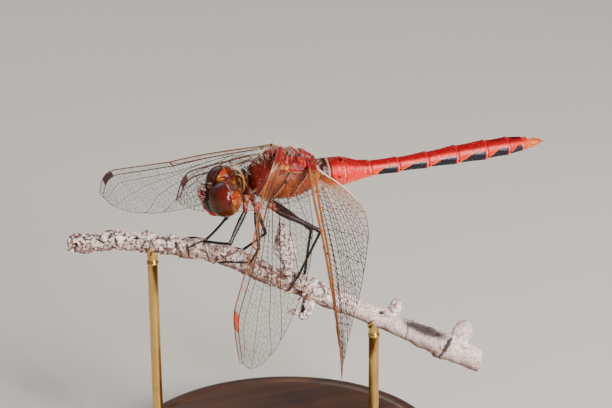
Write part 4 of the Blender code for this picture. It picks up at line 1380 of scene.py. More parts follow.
@dataclass
class Head:
    """The head, in its own axes of forward, sideways (right) and up, then turned into place."""

    centre: Triple = (-5.6, -0.34, -1.16)
    roll: float = 15.0
    pitch: float = -10.0
    yaw: float = -12.0
    eye_centre: Triple = (-0.22, 1.3, 0.24)
    eye_radii: Triple = (1.42, 1.4, 1.62)
    eye_grid: tuple[int, int] = (150, 190)
    frons_centre: Triple = (1.3, 0.0, 0.4)
    frons_radii: Triple = (0.7, 0.96, 0.64)
    plate_edge: tuple[tuple[float, float], ...] = (  # height and how far behind the eye ends
        (-1.0, 0.4), (-0.7, 0.62), (-0.4, 0.64), (-0.2, 0.58), (0.0, 0.5), (0.25, 0.38),
        (0.47, 0.44), (0.65, 0.42), (0.78, 0.4), (0.9, 0.34), (1.0, 0.2))

    def turn(self) -> Array:
        """The matrix that takes the head's axes into the body's: yaw x roll x pitch x mirror.

        Returns:
            The matrix, three by three.
        """
        y, r, p = np.radians([self.yaw, self.roll, self.pitch])
        about_z = np.array([[np.cos(y), -np.sin(y), 0], [np.sin(y), np.cos(y), 0], [0, 0, 1]])
        about_x = np.array([[1, 0, 0], [0, np.cos(r), -np.sin(r)], [0, np.sin(r), np.cos(r)]])
        about_y = np.array([[np.cos(p), 0, np.sin(p)], [0, 1, 0], [-np.sin(p), 0, np.cos(p)]])
        return about_z @ about_x @ about_y @ np.diag([-1.0, 1.0, 1.0])

    def place(self, points: Array) -> Array:
        """Turns points of the head's axes into the body's and moves them to the head."""
        return points @ self.turn().T + np.array(self.centre)

    def build(self) -> None:
        """Makes the eyes, the capsule, the face plates, the feelers and the bristles."""
        for name, side in SIDES.items():
            self.eye(name, side)
        self.capsule()
        self.face()
        self.feelers()

    def eye(self, name: str, side: float) -> None:
        """One compound eye: an ellipsoid pressed flat where it meets its twin.

        Args:
            name: left or right.
            side: the sign of that side.
        """
        centre = np.array(self.eye_centre) * (1.0, side, 1.0)
        points, _ = ball(centre, self.eye_radii, *self.eye_grid, axis=1)
        f, s, u = points[..., 0], points[..., 1] * side, points[..., 2]
        points[..., 1] = side * np.maximum(s, 0.035)
        cloud = NOISE.layered(points, 0.7)
        low = fall(u + 0.16 * cloud, 0.1, 0.6)
        crown = smooth(u, 1.25, 1.6) * fall(s, 1.5, 2.1)
        glint = NOISE.at(points * (2.0, 0.6, 1.0), 0.16)
        tint = coats(
            rgb(80, 20, 12),
            (rgb(92, 20, 14), 0.7 * hump(f, -0.35, 0.4) * smooth(u, 0.6, 1.1)),
            (rgb(64, 30, 24), 0.95 * smooth(f + 0.1 * cloud, 0.1, 0.4)),
            (rgb(92, 52, 14), 0.95 * smooth(f + 0.05 * cloud, 0.6, 0.72)),
            (rgb(10, 6, 5), 0.95 * smooth(f, 0.96, 1.06)),
            (rgb(78, 32, 8), 0.95 * low),
            (rgb(34, 14, 6), 0.85 * low * hump(f, 0.5, 0.16) * hump(u, 0.2, 0.5)),
            (rgb(48, 14, 5), 0.75 * low * hump(f, -0.02, 0.12) * hump(u, 0.1, 0.2)),
            (rgb(160, 84, 30), 0.7 * low * smooth(-f, 0.6, 0.95)),
            (rgb(34, 10, 5), 0.8 * hump(f, -0.56, 0.1) * hump(u, 0.6, 0.2)),
            (rgb(62, 36, 38), 0.85 * crown),
            (rgb(92, 62, 46), 0.8 * crown * smooth(f, 0.2, 0.6)),
            (rgb(170, 116, 116), 0.8 * smooth(glint, 0.35, 0.7) * hump(s, 0.62, 0.3)
             * hump(f, 0.32, 0.22)),
            (rgb(6, 4, 5), 0.97 * hump(0.5 - s - f, -0.05, 0.1) * smooth(u, 0.9, 1.2)
             * fall(s, 1.2, 1.4)))
        pile = Pile()
        pile.add_tube(self.place(points), tint, 1.0)
        pile.make(f"eye_{name}_globe", EYE_GLASS, (f"eye_{name}",))

    def capsule(self) -> None:
        """The back of the head: plates behind both eyes, the occiput between them, the cheeks."""
        pile = Pile()
        backs = []
        for side in SIDES.values():
            centre = np.array(self.eye_centre) * (1.0, side, 1.0)
            points, way = ball(centre, self.eye_radii, *self.eye_grid, axis=1)
            edge = soft_line(way[..., 2], *np.array(self.plate_edge).T, 0.05)
            reach = way * np.array(self.eye_radii)
            f, s, u = axes(centre + reach)
            wedge_line = 0.5 - s * side - f
            behind = np.maximum((-way[..., 0] - edge) * self.eye_radii[0],
                                np.where(u > 0.75, 0.7 * wedge_line, -1.0))
            grown = 0.93 + 0.1 * smooth(behind, -0.05, 0.03)
            points = centre + reach * grown[..., None]
            points[..., 1] = side * np.maximum(points[..., 1] * side, 0.02)
            f, s, u = points[..., 0], points[..., 1] * side, points[..., 2]
            cloud, fleck = NOISE.layered(points, 0.35), NOISE.at(points, 0.3)
            tint = coats(
                rgb(150, 60, 12),
                (rgb(206, 116, 40), 0.8 * smooth(cloud, 0.1, 0.4)),
                (rgb(96, 26, 6), 0.8 * smooth(-cloud, 0.1, 0.4)))
            for spot_f, spot_u, wide, high, core_tint in (
                    (-1.08, 1.00, 0.24, 0.26, rgb(176, 34, 6)),
                    (-1.02, 0.52, 0.26, 0.24, rgb(190, 70, 8))):
                ahead, above = f - spot_f, u - spot_u
                far = (np.hypot(ahead / wide, above / high) + 0.9 * cloud
                       + 0.25 * np.cos(3.0 * np.arctan2(ahead, above)))
                tint = coats(
                    tint,
                    (core_tint, 0.95 * fall(far, 0.7, 0.95)),
                    # Painted glints: cream flecks round the edge of each spot.
                    (rgb(236, 170, 96), 0.6 * hump(far, 0.95, 0.1) * smooth(fleck, -0.2, 0.3)),
                    (rgb(60, 12, 4), 0.8 * hump(far, 1.28, 0.14)))
            wedge = smooth(wedge_line, 0.0, 0.1) * smooth(u, 0.7, 1.0) * fall(s, 1.2, 1.35)
            rim = fall(behind, 0.02, 0.045) * (1.0 - wedge)
            tint = coats(
                tint,
                (rgb(70, 42, 42), 0.95 * smooth(u, 1.08, 1.28)),
                (rgb(150, 116, 108), 0.6 * smooth(cloud, 0.1, 0.4) * smooth(u, 1.15, 1.35)),
                (rgb(152, 56, 18), 0.97 * wedge),
                (rgb(236, 146, 24), 0.95 * wedge * hump(f, -0.1, 0.2) * fall(s, 0.35, 0.65)),
                (rgb(188, 84, 30), 0.6 * wedge * smooth(cloud, 0.0, 0.3)),
                (rgb(74, 12, 4), 0.9 * wedge * smooth(-f, 0.72, 0.9)),
                (rgb(176, 140, 134), 0.85 * wedge * hump(f, -0.76, 0.14) * hump(s, 0.18, 0.14)),
                (rgb(30, 9, 6), 0.9 * hump(f, -1.06, 0.14) * smooth(u, 0.5, 0.8)
                 * fall(s, 0.75, 1.0)),
                (rgb(6, 4, 5), 0.97 * hump(wedge_line, 0.02, 0.05) * smooth(u, 0.9, 1.2)
                 * fall(s, 1.2, 1.4)),
                (rgb(128, 62, 20), 0.8 * fall(u, -0.35, 0.15)
                 * smooth(u + 0.3 * cloud, -1.5, -1.0)),
                (rgb(190, 120, 70), 0.85 * rim * smooth(u, 0.9, 1.1)),
                (rgb(46, 14, 6), 0.8 * rim * fall(u, 0.9, 1.1)))
            points += 0.03 * (cloud * smooth(behind, 0.05, 0.15))[..., None] * way
            cover = 0.25 + 0.6 * wedge + smooth(u, 1.15, 1.35) * (1.0 - wedge)
            pile.add_tube(self.place(points), tint, np.clip(cover, 0.0, 1.0))
            backs.append((points, way, tint, behind))
        self.occiput(pile)
        core, way = ball((-0.4, 0.0, -0.04), (0.92, 2.05, 1.58), 90, 120, axis=1)
        dent = hump(core[..., 1], 0.0, 0.5) * hump(core[..., 2], -0.1, 0.55)
        core[..., 0] += 0.3 * dent * (way[..., 0] < 0.0)
        tint = coats(rgb(70, 34, 32), (INK.black, 0.9 * dent + 0.7 * NOISE.layered(core, 0.3)))
        pile.add_tube(self.place(core), tint, 0.9)
        band, way = ball((0.78, 0.0, -0.1), (0.9, 1.72, 1.32), 70, 100, axis=1)
        cells = NOISE.layered(band, 0.2)
        tint = coats(
            INK.black,
            (rgb(128, 44, 36), smooth(band[..., 2], 0.15, 0.45) * smooth(cells, -0.05, 0.25)),
            (rgb(190, 150, 140), 0.8 * smooth(band[..., 2], 0.2, 0.5) * smooth(cells, 0.25, 0.5)))
        pile.add_tube(self.place(band), tint, 1.0)
        pile.make("head_capsule", FACE_SHELL, ("head",))
        self.back_hair(backs)

    def occiput(self, pile: Pile) -> None:
        """The glossy amber wedge between the eyes, and the dark tubercle with the three ocelli.

        Args:
            pile: what they are added to.
        """
        points, way = ball((-0.34, 0.0, 1.1), (0.44, 0.42, 0.5), 60, 80)
        points[..., 1] *= 0.3 + 0.7 * smooth(-points[..., 0], -0.05, 0.7)
        points = points + 0.03 * NOISE.layered(points, 0.25)[..., None]
        f, s = points[..., 0], np.abs(points[..., 1])
        tint = coats(
            rgb(180, 70, 12),
            (rgb(226, 136, 14), 0.95 * hump(f, -0.14, 0.24) * fall(s, 0.16, 0.36)),
            (rgb(96, 14, 8), 0.9 * smooth(-f, 0.5, 0.85)),
            (INK.black, 0.95 * smooth(np.abs(way[..., 1]), 0.62, 0.86)))
        pile.add_tube(self.place(points), tint, 0.1)
        points, way = ball((1.02, 0.0, 0.98), (0.28, 0.34, 0.24), 50, 70)
        ahead, aside, above = axes(way)
        points[..., 2] += 0.07 * hump(np.abs(aside), 0.5, 0.25) * smooth(above, 0.3, 0.8)
        tint = coats(
            INK.black,
            (INK.ash, 0.7 * smooth(ahead, 0.55, 0.85) * smooth(above, 0.1, 0.4)))
        pile.add_tube(self.place(points), tint, 1.0)
        for f, s, u in ((1.3, 0.0, 1.02), (0.98, 0.26, 1.14), (0.98, -0.26, 1.14)):
            points, way = ball((f, s, u), (0.1, 0.1, 0.1), 16, 22)
            tint = coats(rgb(60, 22, 10), (INK.amber, 0.6 * smooth(way[..., 2], 0.5, 1.0)))
            pile.add_tube(self.place(points), tint, 0.0)

    def back_hair(self, backs: list[tuple[Array, Array, Array, Array]]) -> None:
        """Pale hair over the back of the head.

        Args:
            backs: for each side the plate's points, directions, colours and depth behind its edge.
        """
        draw = np.random.default_rng(Seed.HEAD_HAIR)
        for name, (points, way, tint, behind) in zip(SIDES, backs):
            chance = smooth(behind, 0.02, 0.2) * (0.2 + smooth(points[..., 2], -0.6, 1.2))
            outward = unit(way @ self.turn().T)
            grow_coat(f"head_hair_{name}", self.place(points), outward, tint, chance, draw,
                      HairStyle(count=300, length=0.34, radius=0.0065, lean=(0.25, 0.0, 0.35),
                                spread=0.35, paleness=0.5, colour=INK.tan))

    def face(self) -> None:
        """The frons, the clypeus, the labrum, the mandibles and the labium."""
        frons, way = ball(self.frons_centre, self.frons_radii, 90, 130, axis=1)
        wrinkle = np.cos(26.0 * frons[..., 2] + 5.0 * NOISE.at(frons, 0.3))
        groove = hump(frons[..., 1], 0.0, 0.1) * smooth(way[..., 2], 0.0, 0.5)
        cells = NOISE.layered(frons, 0.16)
        lift = 0.018 * wrinkle + 0.05 * cells - 0.1 * groove
        frons = frons + way * lift[..., None]
        tint = coats(
            rgb(140, 40, 40),
            (rgb(216, 140, 124), 0.85 * smooth(cells, 0.0, 0.3)),
            (rgb(50, 8, 8), 0.85 * smooth(-cells, 0.0, 0.28)),
            (INK.ash, 0.8 * smooth(way[..., 2], 0.86, 0.96)),
            (INK.black, 0.85 * smooth(np.abs(way[..., 1]), 0.86, 0.97)))
        self.plate("frons_plate", ((frons, tint, 0.8),), ("frons",))
        clypeus, way = ball((1.4, 0.0, -0.2), (0.5, 0.92, 0.36), 60, 100, axis=1)
        tint = coats(
            rgb(150, 40, 26),
            (INK.amber, 0.7 * hump(np.abs(clypeus[..., 1]), 0.55, 0.2)),
            (rgb(120, 30, 24), 0.7 * smooth(np.abs(way[..., 2]), 0.75, 0.95)))
        clypeus_part = (clypeus, tint, 0.7)
        labrum, way = ball((1.22, 0.0, -0.66), (0.6, 1.06, 0.56), 70, 110, axis=1)
        lip = hump(labrum[..., 2], -0.62, 0.05) * smooth(way[..., 0], 0.0, 0.4)
        labrum = labrum + way * (-0.03 * lip + 0.012 * NOISE.layered(labrum, 0.2))[..., None]
        tint = coats(
            rgb(150, 14, 34),
            (rgb(190, 46, 14), fall(labrum[..., 2], -0.95, -0.5)),
            (INK.rose, 0.35 * smooth(NOISE.layered(labrum, 0.2), 0.1, 0.45)),
            (rgb(60, 8, 8), 0.7 * smooth(-NOISE.layered(labrum, 0.3), 0.1, 0.4)))
        self.plate("labrum_plate", (clypeus_part, (labrum, tint, 0.5)), ("labrum",))
        parts = []
        for side in SIDES.values():
            jaw, way = ball((0.78, 0.86 * side, -0.92), (0.66, 0.46, 0.6), 46, 64)
            tint = coats(
                rgb(170, 44, 12),
                (rgb(96, 20, 10), 0.7 * smooth(NOISE.layered(jaw, 0.3), 0.0, 0.4)))
            parts.append((jaw, tint, 0.5))
        labium, way = ball((0.4, 0.0, -1.34), (0.92, 1.12, 0.52), 60, 90, axis=1)
        labium = labium - way * (0.06 * hump(labium[..., 1], 0.0, 0.05))[..., None]
        tint = coats(rgb(196, 118, 60), (rgb(110, 60, 34), 0.8 * hump(labium[..., 1], 0.0, 0.06)))
        parts.append((labium, tint, 0.8))
        self.plate("labium_plate", tuple(parts), ("labium",))
        self.bristles(frons)

    def plate(self, name: str, parts: tuple[tuple[Array, Array, float], ...],
              nodes: tuple[str, ...]) -> None:
        """Makes one face piece from its surfaces.

        Args:
            name: the piece's name.
            parts: the points, colours and cover of each surface.
            nodes: the nodes it stands for.
        """
        pile = Pile()
        for points, tint, cover in parts:
            pile.add_tube(self.place(points), tint, cover)
        pile.make(name, FACE_SHELL, nodes)

    def bristles(self, frons: Array) -> None:
        """Short dark and pale bristles over the face, and a fan of grey ones on its ridge.

        Args:
            frons: the points of the frons.
        """
        draw = np.random.default_rng(Seed.BRISTLES)
        centre = np.array(self.frons_centre)
        way = unit((frons - centre) / np.array(self.frons_radii))
        front = smooth(way[..., 0], -0.1, 0.5)
        outward = unit(way @ self.turn().T)
        placed = self.place(frons)
        grow_coat("face_bristles_dark", placed, outward, INK.black, front, draw,
                  HairStyle(count=170, length=0.3, radius=0.008, spread=0.3, paleness=0.0))
        ridge = front * smooth(way[..., 2], 0.3, 0.9) + 0.25 * front
        grow_coat("face_bristles_pale", placed, outward, INK.black, ridge, draw,
                  HairStyle(count=110, length=0.36, radius=0.008, lean=(-0.2, 0.0, 0.3),
                            spread=0.35, paleness=1.0, colour=INK.cream))

    def feelers(self) -> None:
        """The antennae: two beads and a hair-thin whip of five joints each."""
        for name, side in SIDES.items():
            root = np.array([1.3, 0.46 * side, 0.9])
            tip = np.array([1.86, 0.88 * side, 1.8])
            run = np.linspace(0.0, 1.0, 44)
            arch = np.array([0.1, 0.02 * side, 0.0])
            path = line_between(root, tip, run) + arch * np.sin(np.pi * run)[:, None]
            beads = 0.11 * hump(run, 0.05, 0.06) + 0.075 * hump(run, 0.19, 0.06)
            whip = 0.04 * (1.0 - 0.7 * run) * (1.0 - 0.25 * np.cos(run * 50.0) ** 8)
            rings = rings_along(path, np.maximum(beads, whip), 14)
            tint = coats(INK.black, (rgb(120, 80, 60), 0.6 * hump(run, 0.12, 0.03)[:, None]))
            pile = Pile()
            pile.add_tube(self.place(rings), tint, 0.5)
            pile.make(f"antenna_{name}_whip", LEG_SHELL, (f"antenna_{name}",))


# ---------------------------------------------------------------- wings


@dataclass(frozen=True)
class Lane:
    """One long vein: how far back it runs, from 0 beside the radius to 1 at the rear edge."""

    places: tuple[float, ...]
    depths: tuple[float, ...]
    radius: float = 0.032

    def depth(self, t: Array) -> Array:
        """The vein's depth at a share t of the wing's length."""
        return np.clip(soft_line(t, self.places, self.depths, 0.03), 0.0, 1.0)


@dataclass
class Wing:
    """One wing: a thin pleated skin and its net of veins.

    A point at share t of the length and y millimetres behind the front edge lies at
    root + t x length x span + (front(t) + y) x back(t) + rise x t squared + lift x normal(t),
    where back(t) is the chord direction turned down by the pitch.
    """

    name: str
    side: float
    root: tuple[float, float]
    length: float
    sweep: float
    droop: float
    pitch: tuple[float, float]
    tip_rise: float
    chord: float
    trailing: tuple[tuple[float, float], ...]
    lanes: tuple[Lane, ...]
    reach: float
    base_stain: float
    stigma: tuple[float, float] = (0.868, 0.924)
    nodus: float = 0.5
    root_y: float = 1.9
    radius_gap: float = 0.62
    stigma_colour: Colour = rgb(170, 40, 44)
    leading: Triple = (0.066, 0.028, 0.058)
    mesh_radius: float = 0.0165
    amber: float = 0.25
    span: Array = field(init=False)
    chordwise: Array = field(init=False)
    upward: Array = field(init=False)

    def __post_init__(self) -> None:
        """Works out the span, chord and normal directions."""
        sweep, droop = math.radians(self.sweep), math.radians(self.droop)
        self.span = np.array([-math.sin(sweep) * math.cos(droop),
                              self.side * math.cos(sweep) * math.cos(droop), -math.sin(droop)])
        chord = np.array([1.0, 0.0, 0.0]) - self.span * self.span[0]
        self.chordwise = chord / np.linalg.norm(chord)
        normal = np.cross(self.span, self.chordwise)
        self.upward = normal * math.copysign(1.0, normal[2])

    def front(self, t: Array) -> Array:
        """How far behind the span line the front edge lies, in millimetres.

        Args:
            t: shares of the wing's length.

        Returns:
            The distances.
        """
        bulge = 0.012 * np.sin(np.pi * np.clip(t, 0.0, 0.5) / 0.5)
        tip = 0.11 * np.clip((t - 0.8) / 0.2, 0.0, 1.0) ** 2.4
        return (tip - bulge) * self.length

    def width(self, t: Array) -> Array:
        """The distance from the front edge to the rear edge, in millimetres.

        Args:
            t: shares of the wing's length.

        Returns:
            The distances.
        """
        places, depths = np.array(self.trailing).T
        rear = soft_line(t, places, depths, 0.02) * self.length * self.chord
        width = np.maximum(rear - self.front(t), 0.45)
        return width * np.sqrt(np.clip(fall(t, 0.965, 1.006), 0.02, 1.0))

    def surface(self, t: Array, y: Array, lift: Array | float = 0.0) -> Array:
        """The place of points, by the formula above.

        Args:
            t: shares of the wing's length.
            y: distances behind the front edge, in millimetres.
            lift: distances off the skin.

        Returns:
            The points.
        """
        inside = np.clip(t, 0.0, 1.0)
        pitch = np.radians(np.interp(inside, (0.0, 1.0), self.pitch))[..., None]
        back = self.chordwise * np.cos(pitch) - self.upward * np.sin(pitch)
        normal = self.chordwise * np.sin(pitch) + self.upward * np.cos(pitch)
        root = np.array([self.root[0], self.side * self.root_y, self.root[1]])
        rise = self.tip_rise * inside[..., None] ** 2 * UP
        behind = (self.front(inside) + y)[..., None]
        return (root + self.span * (t * self.length)[..., None] + back * behind + rise
                + normal * np.broadcast_to(lift, t.shape)[..., None])

    def tracks(self, t: Array) -> Array:
        """How far behind the front edge each long vein runs, from the costa to the rear edge.

        Args:
            t: shares of the wing's length.

        Returns:
            Distances in millimetres, with the veins along the first axis.
        """
        width = self.width(t)
        radius = np.minimum(self.radius_gap, 0.42 * width)
        behind = [radius + (width - radius) * lane.depth(t) for lane in self.lanes]
        subcosta = radius * 0.52 * fall(t, self.nodus - 0.05, self.nodus)
        return np.stack([0.0 * t, subcosta, radius, *behind, width])

    def pleat(self, t: Array, y: Array) -> Array:
        """The folded height of the skin: up and down from one long vein to the next.

        The count of veins passed, with parts of a gap between two, turns a cosine.

        Args:
            t: shares of the wing's length.
            y: distances behind the front edge, in millimetres.

        Returns:
            The height at each point.
        """
        tracks = self.tracks(t)
        gaps = np.maximum(tracks[1:] - tracks[:-1], 0.02)
        passed = np.clip((y - tracks[:-1]) / gaps, 0.0, 1.0).sum(axis=0)
        depth = 0.085 * (1.0 - 0.75 * smooth(y / self.width(t), 0.15, 0.8))
        depth = depth * (1.0 - 0.5 * smooth(t, 0.6, 1.0)) * smooth(t, -0.02, 0.06)
        camber = 0.05 * np.sin(np.pi * np.clip(y / self.width(t), 0.0, 1.0))
        return depth * np.cos(np.pi * passed) + camber

    def build(self) -> None:
        """Makes the skin, the veins and the pterostigma."""
        self.skin()
        self.veins()
        self.pterostigma()

    def skin(self) -> None:
        """The clear skin, a closed shell 0.02 mm thick, stained amber at its base."""
        rows, columns = 190, 44
        t, turn = grid(np.linspace(-self.reach / self.length, 1.0, rows),
                       np.linspace(0.0, np.pi, columns))
        share = (1.0 - np.cos(turn)) / 2.0
        y = self.width(t) * (0.35 * share + 0.65 * share ** 1.4)
        lift = self.pleat(t, y)
        top, below = self.surface(t, y, lift + 0.01), self.surface(t, y, lift - 0.01)
        cloud = NOISE.layered(spread(t * 24.0, y, 0.0), 1.6)
        stain = fall(t, 0.02, 0.16 + 0.03 * cloud) * self.base_stain
        lead = fall(y, 0.45, 0.8)
        tint = coats(
            INK.membrane,
            (rgb(166, 84, 12), np.clip(stain * 1.4, 0, 1)),
            (rgb(132, 74, 26), 0.6 * lead * fall(t, 0.3, 0.7)))
        cover = (0.045 + 0.015 * cloud + 0.13 * stain + 0.06 * lead
                 + 0.04 * smooth(t, 0.85, 1.0))
        pile = Pile()
        pile.add_leaf(top, below, tint, np.clip(cover, 0.03, 0.8))
        pile.make(f"{self.name}_skin", WING_SKIN, (self.name,))

    def vein_tint(self, t: Array, y: Array) -> Array:
        """Veins are amber near the base and along the front, and dark brown elsewhere.

        Args:
            t: shares of the wing's length.
            y: distances behind the front edge, in millimetres.

        Returns:
            The colour at each point.
        """
        lead = fall(y, 0.25 + 0.5 * self.amber, 0.7 + 0.25 * self.amber)
        near = fall(t, 0.02, 0.3)
        pale = lead * fall(t, 0.06, 0.14) * (1.0 - self.amber)
        warm = 0.85 * lead * (1.0 - 0.6 * smooth(t, 0.45, 0.9)) + self.amber * near
        return coats(
            INK.vein_brown,
            (rgb(176, 98, 36), warm),
            (rgb(206, 160, 132), 0.9 * pale),
            (rgb(140, 16, 20), 0.95 * fall(t, 0.015, 0.04)))

    def veins(self) -> None:
        """The long veins as tapering tubes, and the cross-veins as fine straight rods."""
        pile = Pile()
        run = np.linspace(-self.reach / self.length, 0.992, 150)
        tracks = self.tracks(run)
        radii = [*self.leading, *(lane.radius for lane in self.lanes), RIM_RADIUS]
        starts = [-1.0, -1.0, -1.0, *(lane.places[0] for lane in self.lanes), -1.0]
        stops = [1.0, self.nodus, 0.985, *([1.0] * (len(self.lanes) + 1))]
        for y, radius, start, stop in zip(tracks, radii, starts, stops):
            ended = (y > self.width(run) - 0.03) & (radius != RIM_RADIUS)
            keep = (run >= start) & (run <= stop) & ~ended
            if keep.sum() < 6:
                continue
            t, y = run[keep], y[keep]
            path = self.surface(t, y, self.pleat(t, y))
            thick = radius * (1.1 - 0.5 * np.clip(t, 0.0, 1.0))
            thick = thick * (1.0 + 0.6 * fall(t, -0.01, 0.03))
            hem = (self.amber > 0.5) * (y > self.width(t) - 0.01) * fall(t, 0.05, 0.09)
            rings = rings_along(path, thick * (1.0 + hem), 8, self.upward)
            tint = coats(self.vein_tint(t, y), (INK.cream, 0.85 * hem))
            pile.add_tube(rings, tint[:, None, :], 0.7)
        t, y = axes(np.concatenate(self.net()))
        ends = self.surface(t, y, self.pleat(t, y))
        thick = self.mesh_radius * (1.25 - 0.5 * t.mean(axis=1))
        straws(pile, ends[:, 0], ends[:, 1], thick,
               self.vein_tint(t.mean(axis=1), y.mean(axis=1)), tip_share=1.0)
        nodus = self.surface(np.full(20, self.nodus), np.linspace(0.0, self.radius_gap, 20), 0.02)
        pile.add_tube(rings_along(nodus, np.full(20, 0.06), 8, self.upward), rgb(96, 48, 24), 0.7)
        pile.make(f"{self.name}_veins", VEIN_SHELL)

    def net(self) -> list[Array]:
        """The cross-veins of every field between two long veins.

        Returns:
            Arrays of edges: two ends, each with its t and its y.
        """
        draw = np.random.default_rng(int(1000 * self.length) + (self.side > 0))
        edges = [self.ladder(0, 2, 0.05, self.nodus - 0.02, 0.072, draw, single=True),
                 self.ladder(0, 2, self.nodus + 0.03, self.stigma[0], 0.05, draw, single=True)]
        for lane in range(2, len(self.lanes) + 3):
            start = 0.03 if lane == 2 else max(0.02, self.lanes[lane - 3].places[0])
            edges.append(self.ladder(lane, lane + 1, start, 0.985, 0.024, draw))
        return [e for e in edges if len(e)]

    def ladder(self, upper: int, lower: int, start: float, stop: float, step: float,
               draw: np.random.Generator, single: bool = False) -> Array:
        """Cross-veins between two long veins: a ladder, or rows of six-sided cells.

        The field is cut into blocks along the wing. A block of n rows has corners at shares k / n
        of the gap, pulled up and down by turns, so that the cells get their six sides.

        Args:
            upper: the number of the field's front vein.
            lower: the number of its rear vein.
            start: where the field begins, as a share of the length.
            stop: where it ends.
            step: the distance between two cross-veins, as a share of the length.
            draw: the random numbers.
            single: whether the field stays one row whatever its width.

        Returns:
            An array of edges: two ends, each with its t and its y.
        """
        found = []
        block = 4.0 * step
        for left in np.arange(start, stop, block):
            right = min(left + block, stop)
            tracks = self.tracks(np.linspace(left, right, 5))
            gap = float((tracks[lower] - tracks[upper]).mean())
            if gap < 0.1:
                continue
            rows = 1 if single else int(np.clip(round(gap / 0.52), 1, 6))
            halves = 2 * max(1, round((right - left) / step))
            w, t = grid(np.linspace(0.0, 1.0, rows + 1), np.linspace(left, right, halves + 1))
            turn = sum(np.indices(t.shape))
            inner = np.zeros((rows + 1, 1))
            inner[1:-1] = 1.0
            w = w + inner * (0.16 * np.cos(np.pi * turn) + draw.uniform(-0.1, 0.1, w.shape)) / rows
            t = t + step * draw.uniform(-0.13, 0.13, t.shape)
            corners = np.stack([t, w], axis=-1)
            rungs = np.stack([corners[:-1], corners[1:]], axis=2)
            even = turn[:-1] % 2 == 0
            even[:, 0] = True
            found.append(rungs[even])
            if rows > 1:
                rails = np.stack([corners[1:-1, :-1], corners[1:-1, 1:]], axis=2)
                found.append(rails.reshape(-1, 2, 2))
        if not found:
            return np.zeros((0, 2, 2))
        return self.slant(np.concatenate(found), upper, lower)

    def slant(self, edges: Array, upper: int, lower: int) -> Array:
        """Turns t and w edges into t and y, leaning each rung square to the field.

        A point moves along the wing by minus slope x (w - 1/2) x gap, where the slope is how fast
        the middle of the field runs back.

        Args:
            edges: two ends for each edge, each with its t and its share w of the gap.
            upper: the number of the field's front vein.
            lower: the number of its rear vein.

        Returns:
            The edges with t and y.
        """
        t, w = axes(edges)
        ahead, behind = self.tracks(t + 0.01), self.tracks(t - 0.01)
        rise = (ahead[lower] + ahead[upper] - behind[lower] - behind[upper]) / 2.0
        slope = np.clip(rise / (0.02 * self.length), -1.2, 1.2)
        here = self.tracks(t)
        gap = here[lower] - here[upper]
        t = np.clip(t - slope * (w - 0.5) * gap / (1.0 + slope ** 2) / self.length, 0.0, 0.99)
        here = self.tracks(t)
        y = here[upper] + (here[lower] - here[upper]) * np.clip(w, 0.0, 1.0)
        return np.stack([t, y], axis=-1)

    def pterostigma(self) -> None:
        """The thick coloured cell near the tip: a cushion between the costa and the radius."""
        rows, columns = 44, 20
        t, share = grid(np.linspace(*self.stigma, rows), np.linspace(0.0, 1.0, columns))
        track = self.tracks(t)[2]
        t = t + (share - 0.5) * 0.012
        y = track * (0.06 + 0.88 * share)
        along = np.linspace(0.02, 0.98, rows)[:, None]
        swell = (np.clip(np.sin(np.pi * share), 0.0, 1.0) ** 0.5
                 * np.clip(np.sin(np.pi * along), 0.0, 1.0) ** 0.3)
        lift = self.pleat(t, y)
        wrinkle = 0.008 * NOISE.at(spread(t * 60.0, y * 3.0, 0.0), 0.5)
        top = self.surface(t, y, lift + 0.012 + 0.05 * swell + wrinkle)
        below = self.surface(t, y, lift - 0.012 - 0.05 * swell - wrinkle)
        tint = coats(self.stigma_colour, (rgb(90, 24, 20), 0.7 * fall(swell, 0.3, 0.8)))
        pile = Pile()
        pile.add_leaf(top, below, tint, 0.6)
        pile.make(f"{self.name}_stigma", VEIN_SHELL)


RIM_RADIUS = 0.028  # a vein this thick runs on along the rim, where the others end
FORE_LANES = (
    Lane((0.16, 0.3, 0.5, 0.7, 0.85, 0.95, 1.0), (0.01, 0.07, 0.12, 0.14, 0.18, 0.36, 0.7)),
    Lane((0.32, 0.45, 0.6, 0.75, 0.9, 0.97), (0.1, 0.17, 0.26, 0.36, 0.62, 1.0), RIM_RADIUS),
    Lane((0.16, 0.3, 0.45, 0.6, 0.72, 0.83), (0.04, 0.17, 0.28, 0.43, 0.62, 1.0), 0.033),
    Lane((0.13, 0.3, 0.45, 0.58, 0.68, 0.74), (0.12, 0.29, 0.43, 0.61, 0.84, 1.0), 0.033),
    Lane((0.1, 0.2, 0.3, 0.42, 0.5), (0.28, 0.46, 0.53, 0.78, 1.0), 0.034),
    Lane((0.03, 0.12, 0.2, 0.27), (0.4, 0.6, 0.82, 1.0), 0.029))
HIND_LANES = (
    Lane((0.14, 0.3, 0.5, 0.7, 0.85, 0.95, 1.0), (0.01, 0.06, 0.1, 0.13, 0.18, 0.36, 0.7)),
    Lane((0.3, 0.45, 0.6, 0.75, 0.9, 0.97), (0.08, 0.14, 0.23, 0.34, 0.6, 1.0), RIM_RADIUS),
    Lane((0.14, 0.3, 0.45, 0.6, 0.74, 0.84), (0.03, 0.13, 0.23, 0.38, 0.6, 1.0), 0.033),
    Lane((0.11, 0.3, 0.45, 0.6, 0.7, 0.76), (0.08, 0.22, 0.36, 0.56, 0.8, 1.0), 0.033),
    Lane((0.08, 0.25, 0.4, 0.53), (0.14, 0.38, 0.62, 1.0), 0.034),
    Lane((0.03, 0.1, 0.2, 0.3, 0.38), (0.22, 0.36, 0.58, 0.8, 1.0), 0.032),
    Lane((0.02, 0.08, 0.15, 0.21), (0.48, 0.64, 0.83, 1.0), RIM_RADIUS))
FORE_EDGE = ((0.0, 0.03), (0.03, 0.09), (0.08, 0.15), (0.2, 0.2), (0.35, 0.235), (0.5, 0.25),
             (0.65, 0.25), (0.8, 0.235), (0.9, 0.205), (0.96, 0.17), (1.0, 0.115))
